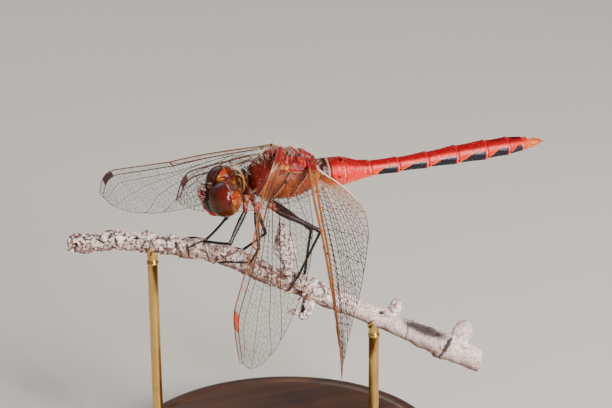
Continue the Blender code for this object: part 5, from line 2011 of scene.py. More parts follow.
HIND_EDGE = ((0.0, 0.05), (0.02, 0.16), (0.06, 0.27), (0.12, 0.33), (0.2, 0.35), (0.35, 0.345),
             (0.5, 0.325), (0.65, 0.29), (0.8, 0.245), (0.9, 0.2), (0.96, 0.16), (1.0, 0.115))


@dataclass
class Wings:
    """The two pairs of wings."""

    def build(self) -> None:
        """Makes the four wings from the two pairs' sizes."""
        for name, side in SIDES.items():
            near = side < 0.0
            Wing(name=f"forewing_{name}", side=side, root=(-1.06, 1.95), length=24.2, sweep=29.5,
                 droop=19.4, pitch=(20.6, 59.1), tip_rise=0.82, chord=1.015, reach=1.45,
                 trailing=FORE_EDGE, lanes=FORE_LANES, base_stain=0.35,
                 stigma=(0.845, 0.908) if near else (0.852, 0.93),
                 stigma_colour=rgb(176, 58, 50) if near else rgb(66, 30, 24)).build()
            Wing(name=f"hindwing_{name}", side=side, root=(2.03, 0.91), length=23.0, sweep=14.1,
                 droop=15.9, pitch=(26.3, 83.5), tip_rise=-1.98, chord=0.8, reach=0.75,
                 trailing=HIND_EDGE, lanes=HIND_LANES, base_stain=1.0,
                 stigma_colour=rgb(128, 52, 60), leading=(0.105, 0.034, 0.105),
                 mesh_radius=0.031, amber=0.8).build()


# ---------------------------------------------------------------- twig


@dataclass(frozen=True)
class Scar:
    """A crack, hole or lump of the bark: its place, half sizes, slant, depth and darkness."""

    x: float
    angle: float
    half_length: float
    half_spread: float
    depth: float = 0.2
    slant: float = 0.0
    dark: float = 0.95


@dataclass(frozen=True)
class Twig:
    """The twig's middle line and girth, and places on its bark.

    A place is middle(x) + (girth(x) + lift) x (cos a up + sin a outward), where the angle a is 0
    on top of the twig and 90 degrees on its left flank.
    """

    line: tuple[Triple, ...] = (  # x, height and girth
        (-18.1, -5.98, 0.55), (-17.6, -5.92, 0.84), (-16.6, -6.02, 0.82), (-15.4, -5.92, 0.7),
        (-14.5, -5.56, 0.86), (-13.5, -5.7, 0.8), (-12.4, -5.9, 0.68), (-11.6, -5.86, 0.94),
        (-10.4, -6.12, 0.84), (-9.2, -6.3, 0.8), (-7.8, -6.52, 0.86), (-6.4, -6.74, 0.84),
        (-4.9, -7.12, 0.88), (-3.6, -7.8, 0.92), (-2.3, -8.58, 0.86), (-0.9, -9.24, 0.9),
        (0.5, -9.66, 0.96), (1.9, -10.3, 0.98), (3.3, -11.02, 0.94), (4.8, -11.72, 0.92),
        (6.6, -12.62, 0.9), (8.4, -13.46, 0.92), (10.3, -14.38, 0.98), (11.7, -15.04, 1.1),
        (12.9, -15.66, 1.2), (14.2, -16.36, 1.06), (15.8, -17.16, 1.0))
    plan_angle: float = 22.0
    plan_x: float = -5.0
    ease: float = 0.3

    def middle(self, x: Array) -> Array:
        """The middle line at x.

        Args:
            x: the place along the twig.

        Returns:
            The points.
        """
        xs, heights, _ = np.array(self.line).T
        x = np.asarray(x, float)
        y = -math.tan(math.radians(self.plan_angle)) * (x - self.plan_x)
        return np.stack([x, y, soft_line(x, xs, heights, self.ease)], axis=-1)

    def girth(self, x: Array) -> Array:
        """The radius at x."""
        xs, _, radii = np.array(self.line).T
        return soft_line(x, xs, radii, self.ease)

    def spot(self, x: Array, angle: Array, lift: Array | float = 0.0) -> Array:
        """A place on the bark, by the formula above.

        Args:
            x: the place along the twig.
            angle: the angle round it, in degrees.
            lift: the distance off the bark.

        Returns:
            The points.
        """
        along = unit(self.middle(np.asarray(x) + 0.5) - self.middle(np.asarray(x) - 0.5))
        outward = -unit(np.cross(UP, along))
        upward = np.cross(outward, along)
        upward = upward * np.where(upward[..., 2:3] < 0.0, -1.0, 1.0)
        turn = np.radians(angle)
        reach = np.asarray(self.girth(x) + lift)
        return (self.middle(x) + (reach * np.cos(turn))[..., None] * upward
                + (reach * np.sin(turn))[..., None] * outward)


TWIG = Twig()


@dataclass
class Perch:
    """The cut length of weathered twig, with its upright bud, its knobs and its stub."""

    rows: int = 620
    columns: int = 96
    flakes: int = 170
    scars: tuple[Scar, ...] = (
        Scar(-17.45, 95.0, 0.26, 26.0, 0.3), Scar(-17.75, 150.0, 0.2, 24.0, 0.2),
        Scar(-15.45, 45.0, 0.09, 46.0, 0.22, 0.01), Scar(-14.35, 128.0, 0.2, 38.0, 0.26, -0.004),
        Scar(-12.35, 30.0, 0.34, 16.0, 0.16, 0.0, 0.8), Scar(-11.25, 150.0, 0.3, 26.0, 0.26),
        Scar(-12.9, 175.0, 0.5, 20.0, 0.18, 0.0, 0.7), Scar(-10.2, 165.0, 0.3, 22.0, 0.2),
        Scar(-8.25, 82.0, 0.13, 40.0, 0.2, 0.003), Scar(-6.6, 100.0, 0.07, 44.0, 0.16, 0.006),
        Scar(-7.4, 150.0, 0.3, 20.0, 0.22), Scar(-5.6, 128.0, 0.42, 15.0, 0.22, 0.012),
        # Scar(-2.2, 38.0, ...) is a shallow groove beside the bud, darkened as painted shadow
        # there.
        Scar(-4.9, 62.0, 0.05, 40.0, 0.14, -0.01), Scar(-2.2, 38.0, 1.15, 9.0, 0.2, 0.0, 0.9),
        Scar(-0.75, 40.0, 0.42, 22.0, 0.24), Scar(0.95, 128.0, 0.34, 22.0, 0.42),
        Scar(-3.4, 150.0, 0.9, 10.0, 0.14, 0.0, 0.7), Scar(2.8, 120.0, 0.6, 6.0, 0.1, 0.0, 0.6),
        Scar(4.6, 70.0, 0.05, 34.0, 0.08, 0.004, 0.6), Scar(7.35, 30.0, 0.2, 16.0, 0.14),
        Scar(9.6, 60.0, 0.06, 50.0, 0.1, 0.003, 0.6), Scar(11.0, 30.0, 1.25, 17.0, 0.1, 0.0, 0.4),
        Scar(12.85, 75.0, 0.15, 60.0, 0.2, -0.002), Scar(6.2, 165.0, 0.9, 10.0, 0.1, 0.0, 0.6),
        Scar(0.2, 84.0, 0.05, 30.0, 0.12, 0.0, 0.7))
    lumps: tuple[Scar, ...] = (
        Scar(-14.85, 8.0, 0.34, 46.0, 0.16), Scar(-17.1, 15.0, 0.4, 40.0, 0.12),
        Scar(-11.7, 12.0, 0.36, 40.0, 0.18), Scar(-13.4, 100.0, 0.4, 30.0, 0.12),
        Scar(-9.0, 40.0, 0.35, 26.0, 0.12), Scar(-7.6, 20.0, 0.3, 30.0, 0.1),
        Scar(-6.3, 60.0, 0.35, 28.0, 0.12), Scar(-5.0, 100.0, 0.3, 26.0, 0.12),
        Scar(1.75, 128.0, 0.34, 24.0, 0.26), Scar(0.15, 126.0, 0.26, 15.0, 0.22),
        Scar(12.6, 150.0, 0.6, 60.0, 0.12), Scar(7.7, 10.0, 0.4, 30.0, 0.12))
    def build(self) -> None:
        """Makes the bark, the bud, the knobs and the splinters."""
        self.bark()
        self.bud()
        self.knobs()
        self.splinters()

    def marks(self, x: Array, angle: Array, scars: tuple[Scar, ...]) -> tuple[Array, Array]:
        """The summed depth of the scars, and how dark they are painted inside: partly dark inner
        bark, partly painted shade.

        Args:
            x: the place along the twig.
            angle: the angle round it, in degrees.
            scars: the cracks, holes or lumps.

        Returns:
            The depth in millimetres and a share from 0 to 1.
        """
        depth = dark = np.zeros(np.broadcast(x, angle).shape)
        for scar in scars:
            off = (angle - scar.angle + 180.0) % 360.0 - 180.0
            ragged = 1.0 + 0.45 * NOISE.at(spread(x, off / 40.0, scar.x), 0.22)
            far = ragged * np.hypot((x - scar.x - scar.slant * off) / scar.half_length,
                                    off / scar.half_spread)
            depth = depth + 1.4 * scar.depth * fall(far, 0.4, 1.35)
            # A scar is painted dark inside: partly dark inner bark, partly painted shade in its
            # hollow.
            dark = np.maximum(dark, scar.dark * fall(far, 0.75, 1.15))
        return depth, dark

    def weather(self, points: Array, age: Array) -> tuple[Array, Array]:
        """The lumps of old bark and its speckled colours, with painted shade where the bark sinks.

        Args:
            points: places on the plain surface.
            age: 1 where the bark is rough and knobbly, 0 where it is young and smooth.

        Returns:
            How far each place moves out, in millimetres, and its colour.
        """
        lump, grain, speck, fleck = (NOISE.at(points, size) for size in (0.95, 0.19, 0.24, 0.13))
        knob = NOISE.at(points * (0.8, 1.0, 1.0), 0.42)
        crack = fall(np.abs(NOISE.at(points * (0.55, 1.0, 1.0), 0.6)), 0.0, 0.07)
        lift = (0.11 * lump + (0.03 + 0.16 * age) * knob + (0.012 + 0.07 * age) * grain
                - (0.02 + 0.13 * age) * crack)
        tint = coats(
            INK.bark_light,
            # Mid grey where the big lumps sink: partly the bark's own tone, partly painted shade.
            (INK.bark_mid, 0.5 * smooth(-lump, -0.1, 0.6)),
            (INK.bark_tan, (0.25 + 0.25 * age) * smooth(speck, 0.2, 0.5)),
            (rgb(96, 60, 48), (0.2 + 0.7 * age) * smooth(-speck, 0.22, 0.42)),
            (rgb(255, 250, 248), (0.35 + 0.55 * age) * smooth(fleck, 0.16, 0.38)),
            (INK.bark_dark, (0.15 + 0.8 * age) * smooth(-fleck, 0.3, 0.44)),
            # Dark in the cracks: partly the bark's own dark, partly painted shade.
            (INK.bark_dark, (0.1 + 0.9 * age) * crack),
            # Dark where the knobs sink: partly the bark's own dark, partly painted shade.
            (rgb(70, 44, 34), 0.8 * age * smooth(-knob, 0.4, 0.62)))
        return lift, tint

    def bark(self) -> None:
        """The twig's bark, closed by a broken end at the left and a clean cut at the right."""
        first, last = TWIG.line[0][0], TWIG.line[-1][0]
        body = np.linspace(first + 0.12, last, self.rows)
        turn = np.linspace(0.0, np.pi / 2.0, 10)[1:]
        x = np.concatenate([first + 0.12 - 0.12 * np.cos(turn), body, np.full(26, last)])[:, None]
        cut = np.linspace(1.0, 0.04, 27)[1:]
        shrink = np.concatenate([np.sin(turn) ** 0.7, np.ones(self.rows), cut])[:, None]
        angle = np.linspace(0.0, 360.0, self.columns, endpoint=False)[None, :]
        plain_rings = TWIG.spot(*np.broadcast_arrays(x, angle))
        age = fall(x, 1.0, 6.0)
        lift, tint = self.weather(plain_rings, age)
        dents, dark = self.marks(x, angle, self.scars)
        bulges, _ = self.marks(x, angle, self.lumps)
        ring = 0.05 * (hump(x, 4.9, 0.12) + hump(x, 9.9, 0.13) + hump(x, 12.5, 0.2))
        lift = lift + bulges * (0.8 + 0.4 * NOISE.at(plain_rings, 0.3)) - dents + ring
        lift = np.clip(lift, -0.6, 0.28)
        # Painted shade on the twig's underside and lower left flank.
        below = hump((angle + 180.0) % 360.0, 340.0, 66.0)
        worn = smooth(x, -9.4, -8.2) * fall(x, 0.5, 3.0)
        patch = hump(x, 10.9, 1.6) * hump(angle, 32.0, 32.0)
        tint = coats(
            tint,
            (INK.bark_tan, 0.5 * smooth(bulges, 0.1, 0.25) * age),
            # Scars painted dark: partly dark inner bark, partly painted shade in the hollows.
            (rgb(30, 22, 20), dark),
            # Painted shade along the underside.
            (rgb(104, 70, 56), 0.9 * below),
            (rgb(150, 108, 92), worn * (0.35 + 0.5 * NOISE.layered(plain_rings, 0.5))),
            (rgb(54, 42, 42), np.clip(1.7 * patch, 0.0, 0.95)))
        ends = shrink < 0.985
        faces_cut = ends & (x > 0.0)
        year = np.cos(shrink * 44.0 + 0.6 * NOISE.at(plain_rings, 0.5))
        wood = coats(
            rgb(196, 160, 116),
            (rgb(140, 100, 66), 0.5 + 0.5 * year),
            (rgb(92, 60, 40), smooth(shrink, 0.86, 0.94)))
        tint = np.where(faces_cut[..., None], wood, tint)
        middle, girth = TWIG.middle(x), TWIG.girth(x)
        rings = middle + (plain_rings - middle) * (shrink * (girth + lift) / girth)[..., None]
        rings[:, :, 0] -= np.where(faces_cut, 0.02 * NOISE.at(rings, 0.2), 0.0)
        pile = Pile()
        pile.add_tube(rings, tint)
        pile.make("twig_bark", TWIG_BARK, ("perch_twig",))

    def lump(self, pile: Pile, path: Array, radii: Array, age: float, ribs: int = 0,
             depth: float = 0.0, hollow: Triple | None = None) -> None:
        """Adds a weathered outgrowth round a path, closed at its tip.

        Args:
            pile: what it is added to.
            path: its middle line, evenly spaced.
            radii: its radius along that line.
            age: how rough it is, from 0 to 1.
            ribs: how many ribs run along it.
            depth: the ribs' height as a share of the radius.
            hollow: where on its length, at which angle and how deep it is hollowed.
        """
        sides = 64
        rings = rings_along(path, radii, sides, SIDEWAYS, (ribs, depth))
        lift, tint = self.weather(rings, np.full(rings.shape[:2], age))
        run = np.linspace(0.0, 1.0, len(path))[:, None]
        if hollow is not None:
            place, turn, deep = hollow
            angle = np.linspace(0.0, 360.0, sides, endpoint=False)[None, :]
            off = (angle - turn + 180.0) % 360.0 - 180.0
            far = np.hypot((run - place) / 0.2, off / 48.0)
            lift = lift - deep * fall(far, 0.5, 1.0)
            # Painted shade inside the hollow.
            tint = coats(tint, (rgb(34, 22, 18), fall(far, 0.6, 0.95)))
        middle = path[:, None, :]
        girth = np.linalg.norm(rings - middle, axis=-1)
        scale = np.clip((girth + lift * np.clip(girth / 0.3, 0.0, 1.0)) / girth, 0.2, 1.6)
        pile.add_tube(middle + (rings - middle) * scale[..., None], tint)

    def bud(self) -> None:
        """The upright bud: a slim foot, a broad belly to the front and a drawn-out tip."""
        xs, ys, zs = np.array([(-0.06, -1.98, -9.5), (-0.12, -1.96, -7.9), (-0.38, -1.88, -6.1),
                               (-0.62, -1.8, -3.66)]).T
        z = np.linspace(zs[0], zs[-1], 150)
        path = spread(soft_line(z, zs, xs, 0.5), soft_line(z, zs, ys, 0.5), z)
        radii = soft_line(z, (-9.5, -8.6, -7.9, -7.2, -6.5, -6.0, -5.2, -4.4, -3.9, -3.66),
                          (0.6, 0.46, 0.44, 0.66, 0.9, 0.88, 0.66, 0.38, 0.2, 0.07), 0.14)
        pile = Pile()
        self.lump(pile, path, radii, 0.7, 7, 0.09)
        run = np.linspace(0.0, 1.0, 40)
        scales = (  # foot, tip and radius of the loose scales
            ((0.3, -2.1, -7.3), (0.52, -2.05, -5.8), 0.26),
            ((-0.85, -2.2, -7.2), (-0.98, -2.1, -5.00), 0.24),
            ((-0.3, -2.6, -7.6), (-0.52, -2.42, -5.2), 0.26))
        for foot, tip, radius in scales:
            path = line_between(np.array(foot), np.array(tip), run)
            thick = radius * np.clip(np.sin(np.pi * (0.08 + 0.9 * run)), 0.05, 1.0)
            self.lump(pile, path, thick, 0.7, 3, 0.1)
        pile.make("perch_bud_bark", TWIG_BARK, ("perch_bud",))

    def knobs(self) -> None:
        """The two knobs above the twig and the hollow stub under it."""
        run = np.linspace(0.0, 1.0, 70)
        shape = soft_line(run, (0.0, 0.25, 0.5, 0.75, 0.93, 1.0),
                          (0.85, 0.86, 1.0, 0.92, 0.62, 0.1), 0.06)
        for name, x, angle, height, radius, age, hollow in (
                ("perch_knob_upper", 8.2, -8.0, 1.35, 0.56, 0.3, None),
                ("perch_knob_lower", 13.6, -10.0, 1.75, 0.86, 0.1, None),
                ("perch_stub", 2.05, 158.0, 1.9, 0.66, 0.7, (0.62, 196.0, 0.34))):
            path = line_between(TWIG.spot(x, angle, -0.5), TWIG.spot(x, angle, height), run)
            pile = Pile()
            self.lump(pile, path, radius * shape, age, 5, 0.06, hollow)
            pile.make(name + "_bark", TWIG_BARK, (name,))

    def splinters(self) -> None:
        """Broken spurs and loose flakes that stand off the bark."""
        draw = np.random.default_rng(Seed.SPLINTERS)
        pile = Pile()
        run = np.linspace(0.0, 1.0, 16)
        spurs = (  # x, angle and lift of foot and tip, and radius
            ((-11.75, 44.0, -0.05), (-12.95, 20.0, 0.46), 0.19),
            ((-17.6, 140.0, -0.1), (-18.2, 155.0, 0.1), 0.2),
            ((-17.5, 60.0, -0.1), (-18.1, 60.0, 0.05), 0.18),
            ((0.45, 128.0, -0.1), (-0.15, 134.0, 0.36), 0.2),
            ((1.6, 130.0, -0.1), (1.15, 150.0, 0.4), 0.17),
            ((1.5, 152.0, 1.35), (0.8, 162.0, 1.75), 0.32),
            ((-11.0, 165.0, -0.1), (-11.5, 170.0, 0.26), 0.15),
            ((-5.3, 120.0, -0.1), (-5.9, 128.0, 0.14), 0.13))
        for foot, tip, radius in spurs:
            path = line_between(TWIG.spot(*foot), TWIG.spot(*tip), run)
            thick = radius * (1.0 - 0.35 * run) * np.sqrt(np.clip(1.0 - run ** 6, 0.1, 1.0))
            rings = rings_along(path, thick, 14, SIDEWAYS, (3, 0.18))
            rings = rings + 0.03 * NOISE.at(rings, 0.2)[..., None]
            tint = coats(INK.bark_light, (INK.bark_tan, smooth(NOISE.at(rings, 0.15), 0.0, 0.4)))
            pile.add_tube(rings, tint)
        x = draw.uniform(-17.8, 4.0, self.flakes)
        angle = draw.uniform(0.0, 360.0, self.flakes)
        size = draw.uniform(0.05, 0.13, (self.flakes, 3)) * (1.8, 1.0, 1.0)
        for place, flake in zip(TWIG.spot(x, angle, 0.0), size):
            points, _ = ball(place, flake, 5, 8)
            points = points + 0.05 * NOISE.at(points, 0.1)[..., None]
            pile.add_tube(points, coats(INK.bark_light, (INK.bark_tan, draw.uniform(0.0, 0.9, 1))))
        pile.make("twig_splinters", TWIG_BARK)


# ---------------------------------------------------------------- legs


@dataclass(frozen=True)
class LegPlan:
    """One leg: its joints from BODY, and where its foot and toe rest on the twig."""

    name: str
    coxa: Triple
    trochanter: Triple
    knee: Triple
    foot: tuple[float, float]
    toe: tuple[float, float]
    thigh: float
    # How strong the painted highlight on the leg's lit side is.
    painted_highlight: float


@dataclass
class Legs:
    """Six slender black legs with ribs, spines, a painted highlight along their lit side, and
    hooked feet.
    """

    plans: tuple[LegPlan, ...] = (
        LegPlan("leg_fore_left", (-3.42, -0.66, -1.62), (-3.63, -0.95, -2.9),
                (-5.41, -2.05, -5.25), (-7.05, 14.0), (-8.1, 62.0), 0.225, 0.9),
        LegPlan("leg_fore_right", (-3.42, 0.66, -1.62), (-3.5, 1.05, -2.8),
                (-4.11, 3.2, -4.85), (-6.95, -40.0), (-8.3, -24.0), 0.225, 0.4),
        LegPlan("leg_mid_left", (-2.52, -0.98, -2.28), (-2.76, -1.38, -3.05),
                (-3.26, -3.45, -5.45), (-3.35, 58.0), (-5.5, 116.0), 0.2, 1.0),
        LegPlan("leg_mid_right", (-2.3, 0.98, -2.28), (-2.00, 1.45, -3.05),
                (-0.45, 2.85, -6.6), (-4.1, -42.0), (-5.5, -84.0), 0.2, 0.4),
        LegPlan("leg_hind_left", (-1.3, -1.18, -2.46), (-0.86, -1.72, -2.98),
                (2.2, -4.2, -4.36), (0.45, 52.0), (0.1, 118.0), 0.25, 0.8),
        LegPlan("leg_hind_right", (-1.1, 1.18, -2.46), (-0.5, 1.75, -3.00),
                (4.1, 3.3, -7.00), (1.0, -46.0), (0.2, -96.0), 0.25, 0.4))
    shin: float = 0.115
    lumps: float = 0.14
    toe_radius: float = 0.085

    def build(self) -> None:
        """Makes the six legs."""
        for plan in self.plans:
            self.leg(plan)

    def limb(self, pile: Pile, start: Array, end: Array, stations: Row, radii: Row,
             bend: Array, tint: Colour, painted_highlight: float) -> None:
        """Adds one joint of a leg: a slim ribbed tube with an even bend and a painted highlight
        along its lit side.

        Args:
            pile: what it is added to.
            start: its near end.
            end: its far end.
            stations: places along it, from 0 to 1.
            radii: its radius at those places.
            bend: how far its middle stands off the straight line.
            tint: its colour.
            painted_highlight: how strong the painted highlight along the lit side is.
        """
        run = np.linspace(0.0, 1.0, 60)
        path = line_between(start, end, run) + bend * np.sin(np.pi * run)[:, None]
        rings = rings_along(path, soft_line(run, stations, radii, 0.02), 24, ribs=(6, 0.06))
        normal = unit(rings - path[:, None, :])
        side = math.copysign(1.0, start[1])
        outward = np.array([-0.25, 0.8 * side, 0.55])
        lit = (normal * outward).sum(axis=-1)
        cloud = NOISE.layered(rings, 0.3)
        fleshy = 3.0 * tint[0] * smooth(NOISE.layered(rings, 0.16), 0.0, 0.3)
        colour = coats(
            tint,
            # Painted highlight: a pale band along the side of the joint that faces out and up
            # towards the lamps.
            (rgb(150, 138, 142), painted_highlight * (0.6 + 0.5 * cloud) * smooth(lit, 0.9, 0.985)),
            (rgb(40, 22, 18), 0.4 * smooth(cloud, 0.1, 0.5)),
            (rgb(226, 150, 120), fleshy))
        rings = rings + normal * (self.lumps * tint[0] * NOISE.layered(rings, 0.22))[..., None]
        pile.add_tube(rings, colour, 0.6)

    def spines(self, pile: Pile, start: Array, end: Array, count: int, length: float,
               radius: float) -> None:
        """Adds two rows of stiff spines under a joint, all leaning towards its far end.

        Args:
            pile: what they are added to.
            start: the joint's near end.
            end: its far end.
            count: how many stand in a row.
            length: the longest spine.
            radius: the joint's radius.
        """
        along = unit(end - start)
        across = unit(np.cross(along, UP))
        under = np.cross(along, across)
        under = under * math.copysign(1.0, -under[2])
        share = np.linspace(0.1, 0.93, count)
        grow = length * (0.65 + 0.35 * np.sin(np.pi * share))
        for turn in (-1.0, 1.0):
            way = unit(0.75 * under + 0.65 * turn * across + 0.55 * along)
            base = line_between(start, end, share + 0.02 * turn) + way * radius * 0.7
            straws(pile, base, base + way * grow[:, None], 0.02, INK.black, -0.04 * under,
                   tip_share=0.2)

    def leg(self, plan: LegPlan) -> None:
        """Makes one leg from its plan.

        Args:
            plan: the leg's joints and where its foot rests.
        """
        coxa, hip, knee = (np.array(p) for p in (plan.coxa, plan.trochanter, plan.knee))
        foot = TWIG.spot(*plan.foot, 0.16)
        pile = Pile()
        inner = coxa + (coxa - hip) * 0.15
        self.limb(pile, inner, hip, (0.0, 0.3, 0.8, 1.0), (0.3, 0.31, 0.21, 0.17), np.zeros(3),
                  rgb(120, 26, 16), 0.4)
        bead, way = ball(hip, (0.21, 0.21, 0.21), 16, 24)
        tint = coats(rgb(60, 24, 22), (INK.black, smooth(-way[..., 2], -0.3, 0.4)))
        pile.add_tube(bead, tint, 0.4)
        thigh = plan.thigh
        arch = unit(np.cross(np.cross(knee - hip, UP), knee - hip))
        self.limb(pile, hip, knee, (0.0, 0.06, 0.25, 0.6, 0.88, 0.95, 1.0),
                  thigh * np.array([0.7, 0.95, 1.08, 0.86, 0.7, 0.84, 0.55]), 0.05 * arch,
                  INK.black, plan.painted_highlight)
        cap, way = ball(knee, np.full(3, 0.78 * thigh), 16, 24)
        shine = plan.painted_highlight * smooth(way[..., 2], 0.55, 0.85)
        pile.add_tube(cap, coats(INK.black, (INK.ash, shine)), 0.3)
        self.limb(pile, knee, foot, (0.0, 0.05, 0.15, 0.7, 0.95, 1.0),
                  (0.1, 0.14, self.shin, 0.95 * self.shin, 1.1 * self.shin, 0.08), -0.06 * arch,
                  INK.black, 0.5 * plan.painted_highlight)
        self.spines(pile, hip, knee, 9, 0.24, thigh)
        self.spines(pile, knee, foot, 11, 0.44, self.shin)
        self.foot(pile, plan)
        nodes = tuple(f"{plan.name}_{part}" for part in ("coxa", "femur", "tibia", "tarsus"))
        pile.make(f"{plan.name}_shell", LEG_SHELL, nodes)

    def foot(self, pile: Pile, plan: LegPlan) -> None:
        """Adds the three joints of the foot along the bark, and its two hooked claws.

        Args:
            pile: what they are added to.
            plan: the leg's plan.
        """
        run = np.linspace(0.0, 1.0, 54)
        x = plan.foot[0] + (plan.toe[0] - plan.foot[0]) * run
        angle = plan.foot[1] + (plan.toe[1] - plan.foot[1]) * run
        path = TWIG.spot(x, angle, 0.15 + 0.06 * np.sin(np.pi * run))
        notch = 1.0 - 0.35 * (hump(run, 0.16, 0.02) + hump(run, 0.45, 0.02))
        thick = self.toe_radius * notch * (1.05 - 0.25 * run)
        pile.add_tube(rings_along(path, thick, 14), INK.black, 0.5)
        end, along = path[-1], unit(path[-1] - path[-4])
        inward = unit(TWIG.middle(plan.toe[0]) - end)
        across = unit(np.cross(along, inward))
        hook = np.linspace(0.0, 1.0, 14)
        share = hook[:, None]
        for turn in (-1.0, 1.0):
            claw = (end + along * (0.34 * np.sin(share * 1.9)) + inward * (0.26 * share ** 2)
                    + across * (turn * 0.13 * np.sin(share * 1.6)))
            pile.add_tube(rings_along(claw, 0.045 * (1.0 - 0.8 * hook), 8, across),
                          rgb(58, 36, 28), 0.4)
        spurs = np.arange(6, 50, 6)
        straws(pile, path[spurs], path[spurs] + inward * 0.1 + along * 0.06, 0.014, INK.black)


# ---------------------------------------------------------------- stand


@dataclass
class Stand:
    """A turned wooden base and two brass rods with collars and cradles under the twig."""

    radius: float = 15.0
    height: float = 3.0
    rod_radius: float = 0.46
    rods: tuple[tuple[str, float], ...] = (("front", -11.2), ("rear", 7.0))

    def build(self) -> None:
        """Makes the base and the rods."""
        self.base()
        for name, x in self.rods:
            self.rod(name, x)

    def turned(self, profile: Array, columns: int, middle: Array) -> Array:
        """Rings that a profile of radius and height sweeps round an upright line.

        Args:
            profile: a radius and a height for each ring.
            columns: how many points a ring has.
            middle: the foot of the upright line.

        Returns:
            Points by ring and by place round it.
        """
        angle = turns(columns)[None, :]
        reach, height = profile[:, :1], profile[:, 1:]
        return middle + spread(reach * np.cos(angle), reach * np.sin(angle), height)

    def base(self) -> None:
        """The base: a foot, a cove, a bead and a shallow dished top."""
        stops = np.array([(0.2, 0.0), (8.0, 0.0), (14.5, 0.0), (14.78, 0.06), (14.95, 0.25),
            (15.0, 0.6), (14.95, 0.95), (14.72, 1.12), (14.38, 1.2), (14.24, 1.36), (14.22, 1.56),
            (14.34, 1.72), (14.6, 1.8), (14.72, 1.98), (14.74, 2.3), (14.62, 2.62), (14.36, 2.86),
            (13.98, 2.97), (13.55, 3.0), (13.25, 2.96), (13.05, 2.88), (12.8, 2.86), (9.0, 2.88),
            (4.0, 2.9), (0.2, 2.9)])
        run = np.concatenate([[0.0], np.cumsum(np.linalg.norm(np.diff(stops, axis=0), axis=1))])
        dense = np.concatenate([np.linspace(a, b, 6, endpoint=False)
                                for a, b in zip(run[:-1], run[1:])] + [[run[-1]]])
        profile = np.stack([np.interp(dense, run, stops[:, k]) for k in range(2)], axis=-1)
        pile = Pile()
        pile.add_tube(self.turned(profile, 160, -BODY), INK.walnut)
        pile.make("stand_base_turned", STAND_WOOD, ("stand_base",))

    def rod(self, name: str, x: float) -> None:
        """One rod, with a stepped collar on the base and a cradle that holds the twig.

        Args:
            name: front or rear.
            x: where it stands along the twig.
        """
        middle = TWIG.middle(x)
        foot = np.array([middle[0], middle[1], -BODY[2]])
        top = middle[2] + BODY[2] - TWIG.girth(x) * 0.6
        floor = self.height - 0.2
        stops = np.array([(0.05, floor), (1.15, floor), (1.2, floor + 0.26), (1.14, floor + 0.4),
            (0.92, floor + 0.46), (0.72, floor + 0.54), (0.64, floor + 0.7), (0.64, floor + 0.95),
            (0.58, floor + 1.02), (self.rod_radius, floor + 1.06), (self.rod_radius, top - 1.5),
            (0.52, top - 1.46), (0.55, top - 1.32), (0.52, top - 1.18),
            (self.rod_radius, top - 1.14), (self.rod_radius, top), (0.05, top)])
        profile = np.concatenate([np.linspace(a, b, 5, endpoint=False)
                                  for a, b in zip(stops[:-1], stops[1:])] + [stops[-1:]])
        pile = Pile()
        pile.add_tube(self.turned(profile, 48, foot), INK.brass)
        turn = np.linspace(96.0, 264.0, 60)
        path = TWIG.spot(np.full(60, x), turn, 0.1)
        thick = 0.2 * np.sqrt(np.clip(1.0 - np.linspace(-1.0, 1.0, 60) ** 8, 0.08, 1.0))
        along = unit(TWIG.middle(x + 0.5) - TWIG.middle(x - 0.5))
        pile.add_tube(rings_along(path, thick, 16, along), INK.brass)
        pile.make(f"stand_rod_{name}_brass", STAND_BRASS, (f"stand_rod_{name}",))


# ---------------------------------------------------------------- studio


@dataclass(frozen=True)
class Lamp:
    """One soft light: where it stands, its width and height, its power and its colour."""

    name: str
    place: Triple
    size: tuple[float, float]
    power: float
    colour: Colour = (1.0, 1.0, 1.0)


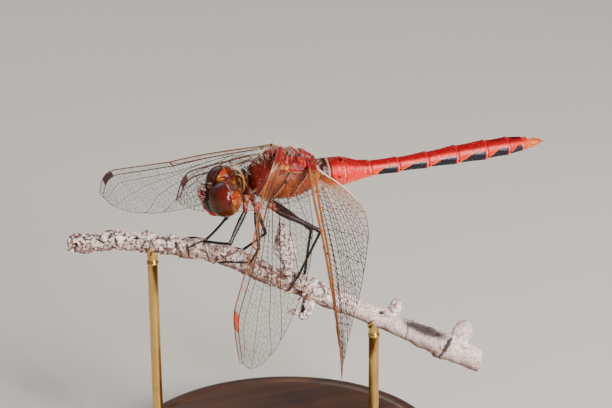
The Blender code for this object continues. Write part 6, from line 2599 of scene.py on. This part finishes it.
@dataclass
class Studio:
    """The pale surface, the soft lights and the camera."""

    azimuth: float = -19.41
    elevation: float = 18.398
    roll: float = -0.724
    distance: float = 170.0
    aim: tuple[float, float] = (2.291, -2.763)
    lens: float = 113.5
    lamps: tuple[Lamp, ...] = (
        Lamp("key", (0.15, -0.29, 0.26), (0.09, 0.16), 1.5, (1.0, 0.94, 0.86)),
        Lamp("front", (0.09, -0.4, 0.12), (0.07, 0.17), 2.2, (1.0, 0.95, 0.88)),
        Lamp("fill", (-0.34, -0.24, 0.22), (0.5, 0.5), 0.2, (0.93, 0.96, 1.0)),
        Lamp("back", (-0.05, 0.3, 0.34), (0.3, 0.3), 0.5, (1.0, 0.98, 0.96)))

    def build(self) -> None:
        """Lays the floor, hangs the lights and sets the camera."""
        self.floor()
        self.lights()
        self.camera()

    def floor(self) -> None:
        """A wide plain surface at the height of the base's underside."""
        half = 3.0
        mesh = bpy.data.meshes.new("floor")
        corners = np.array([(-half, -half, 0.0), (half, -half, 0.0), (half, half, 0.0),
            (-half, half, 0.0)])
        mesh.from_pydata(corners.tolist(), [], [(0, 1, 2, 3)])
        mesh.materials.append(FLOOR_PAINT.material())
        floor = bpy.data.objects.new("floor", mesh)
        bpy.context.scene.collection.objects.link(floor)
        log.info("floor laid")

    def lights(self) -> None:
        """Hangs the lights, each turned towards the model, and sets the pale world."""
        target = Vector((0.0, 0.0, 0.028))
        for lamp in self.lamps:
            data = bpy.data.lights.new(lamp.name, "AREA")
            data.shape = "RECTANGLE"
            data.size, data.size_y = lamp.size
            data.energy = lamp.power
            data.color = lamp.colour
            light = bpy.data.objects.new(lamp.name, data)
            light.location = lamp.place
            light.rotation_euler = (target - Vector(lamp.place)).to_track_quat("-Z", "Y").to_euler()
            bpy.context.scene.collection.objects.link(light)
        world = bpy.data.worlds.new("studio")
        world.use_nodes = True
        sky = world.node_tree.nodes["Background"]
        sky.inputs["Color"].default_value = (0.92, 0.95, 1.0, 1.0)
        sky.inputs["Strength"].default_value = 0.13
        bpy.context.scene.world = world
        log.info("%d lights hung", len(self.lamps))

    def camera(self) -> None:
        """Sets the camera at its azimuth and height round the body, rolled and aimed."""
        az, el, roll = np.radians([self.azimuth, self.elevation, self.roll])
        toward = np.array([np.sin(az) * np.cos(el), -np.cos(az) * np.cos(el), np.sin(el)])
        right = np.array([np.cos(az), np.sin(az), 0.0])
        above = np.cross(toward, right)
        right, above = (right * np.cos(roll) + above * np.sin(roll),
                        above * np.cos(roll) - right * np.sin(roll))
        place = (BODY + self.distance * toward) * MM
        target = (BODY + self.aim[0] * right + self.aim[1] * above) * MM
        back = unit(place - target)
        level = unit(np.cross(above, back))
        turned = Matrix(np.column_stack([level, np.cross(back, level), back]).tolist())
        data = bpy.data.cameras.new("camera")
        data.lens = self.lens
        data.sensor_width = 36.0
        data.clip_start = 0.01
        data.clip_end = 20.0
        view = bpy.data.objects.new("camera", data)
        view.matrix_world = Matrix.Translation(place.tolist()) @ turned.to_4x4()
        bpy.context.scene.collection.objects.link(view)
        bpy.context.scene.camera = view
        log.info("camera set")


def main() -> None:
    """Builds the insect, its twig, its stand and the studio."""
    logging.basicConfig(level=logging.INFO, format="%(name)s: %(message)s")
    Abdomen().build()
    Thorax().build()
    Head().build()
    Wings().build()
    Legs().build()
    Perch().build()
    Stand().build()
    Studio().build()


if __name__ == "__main__":
    main()
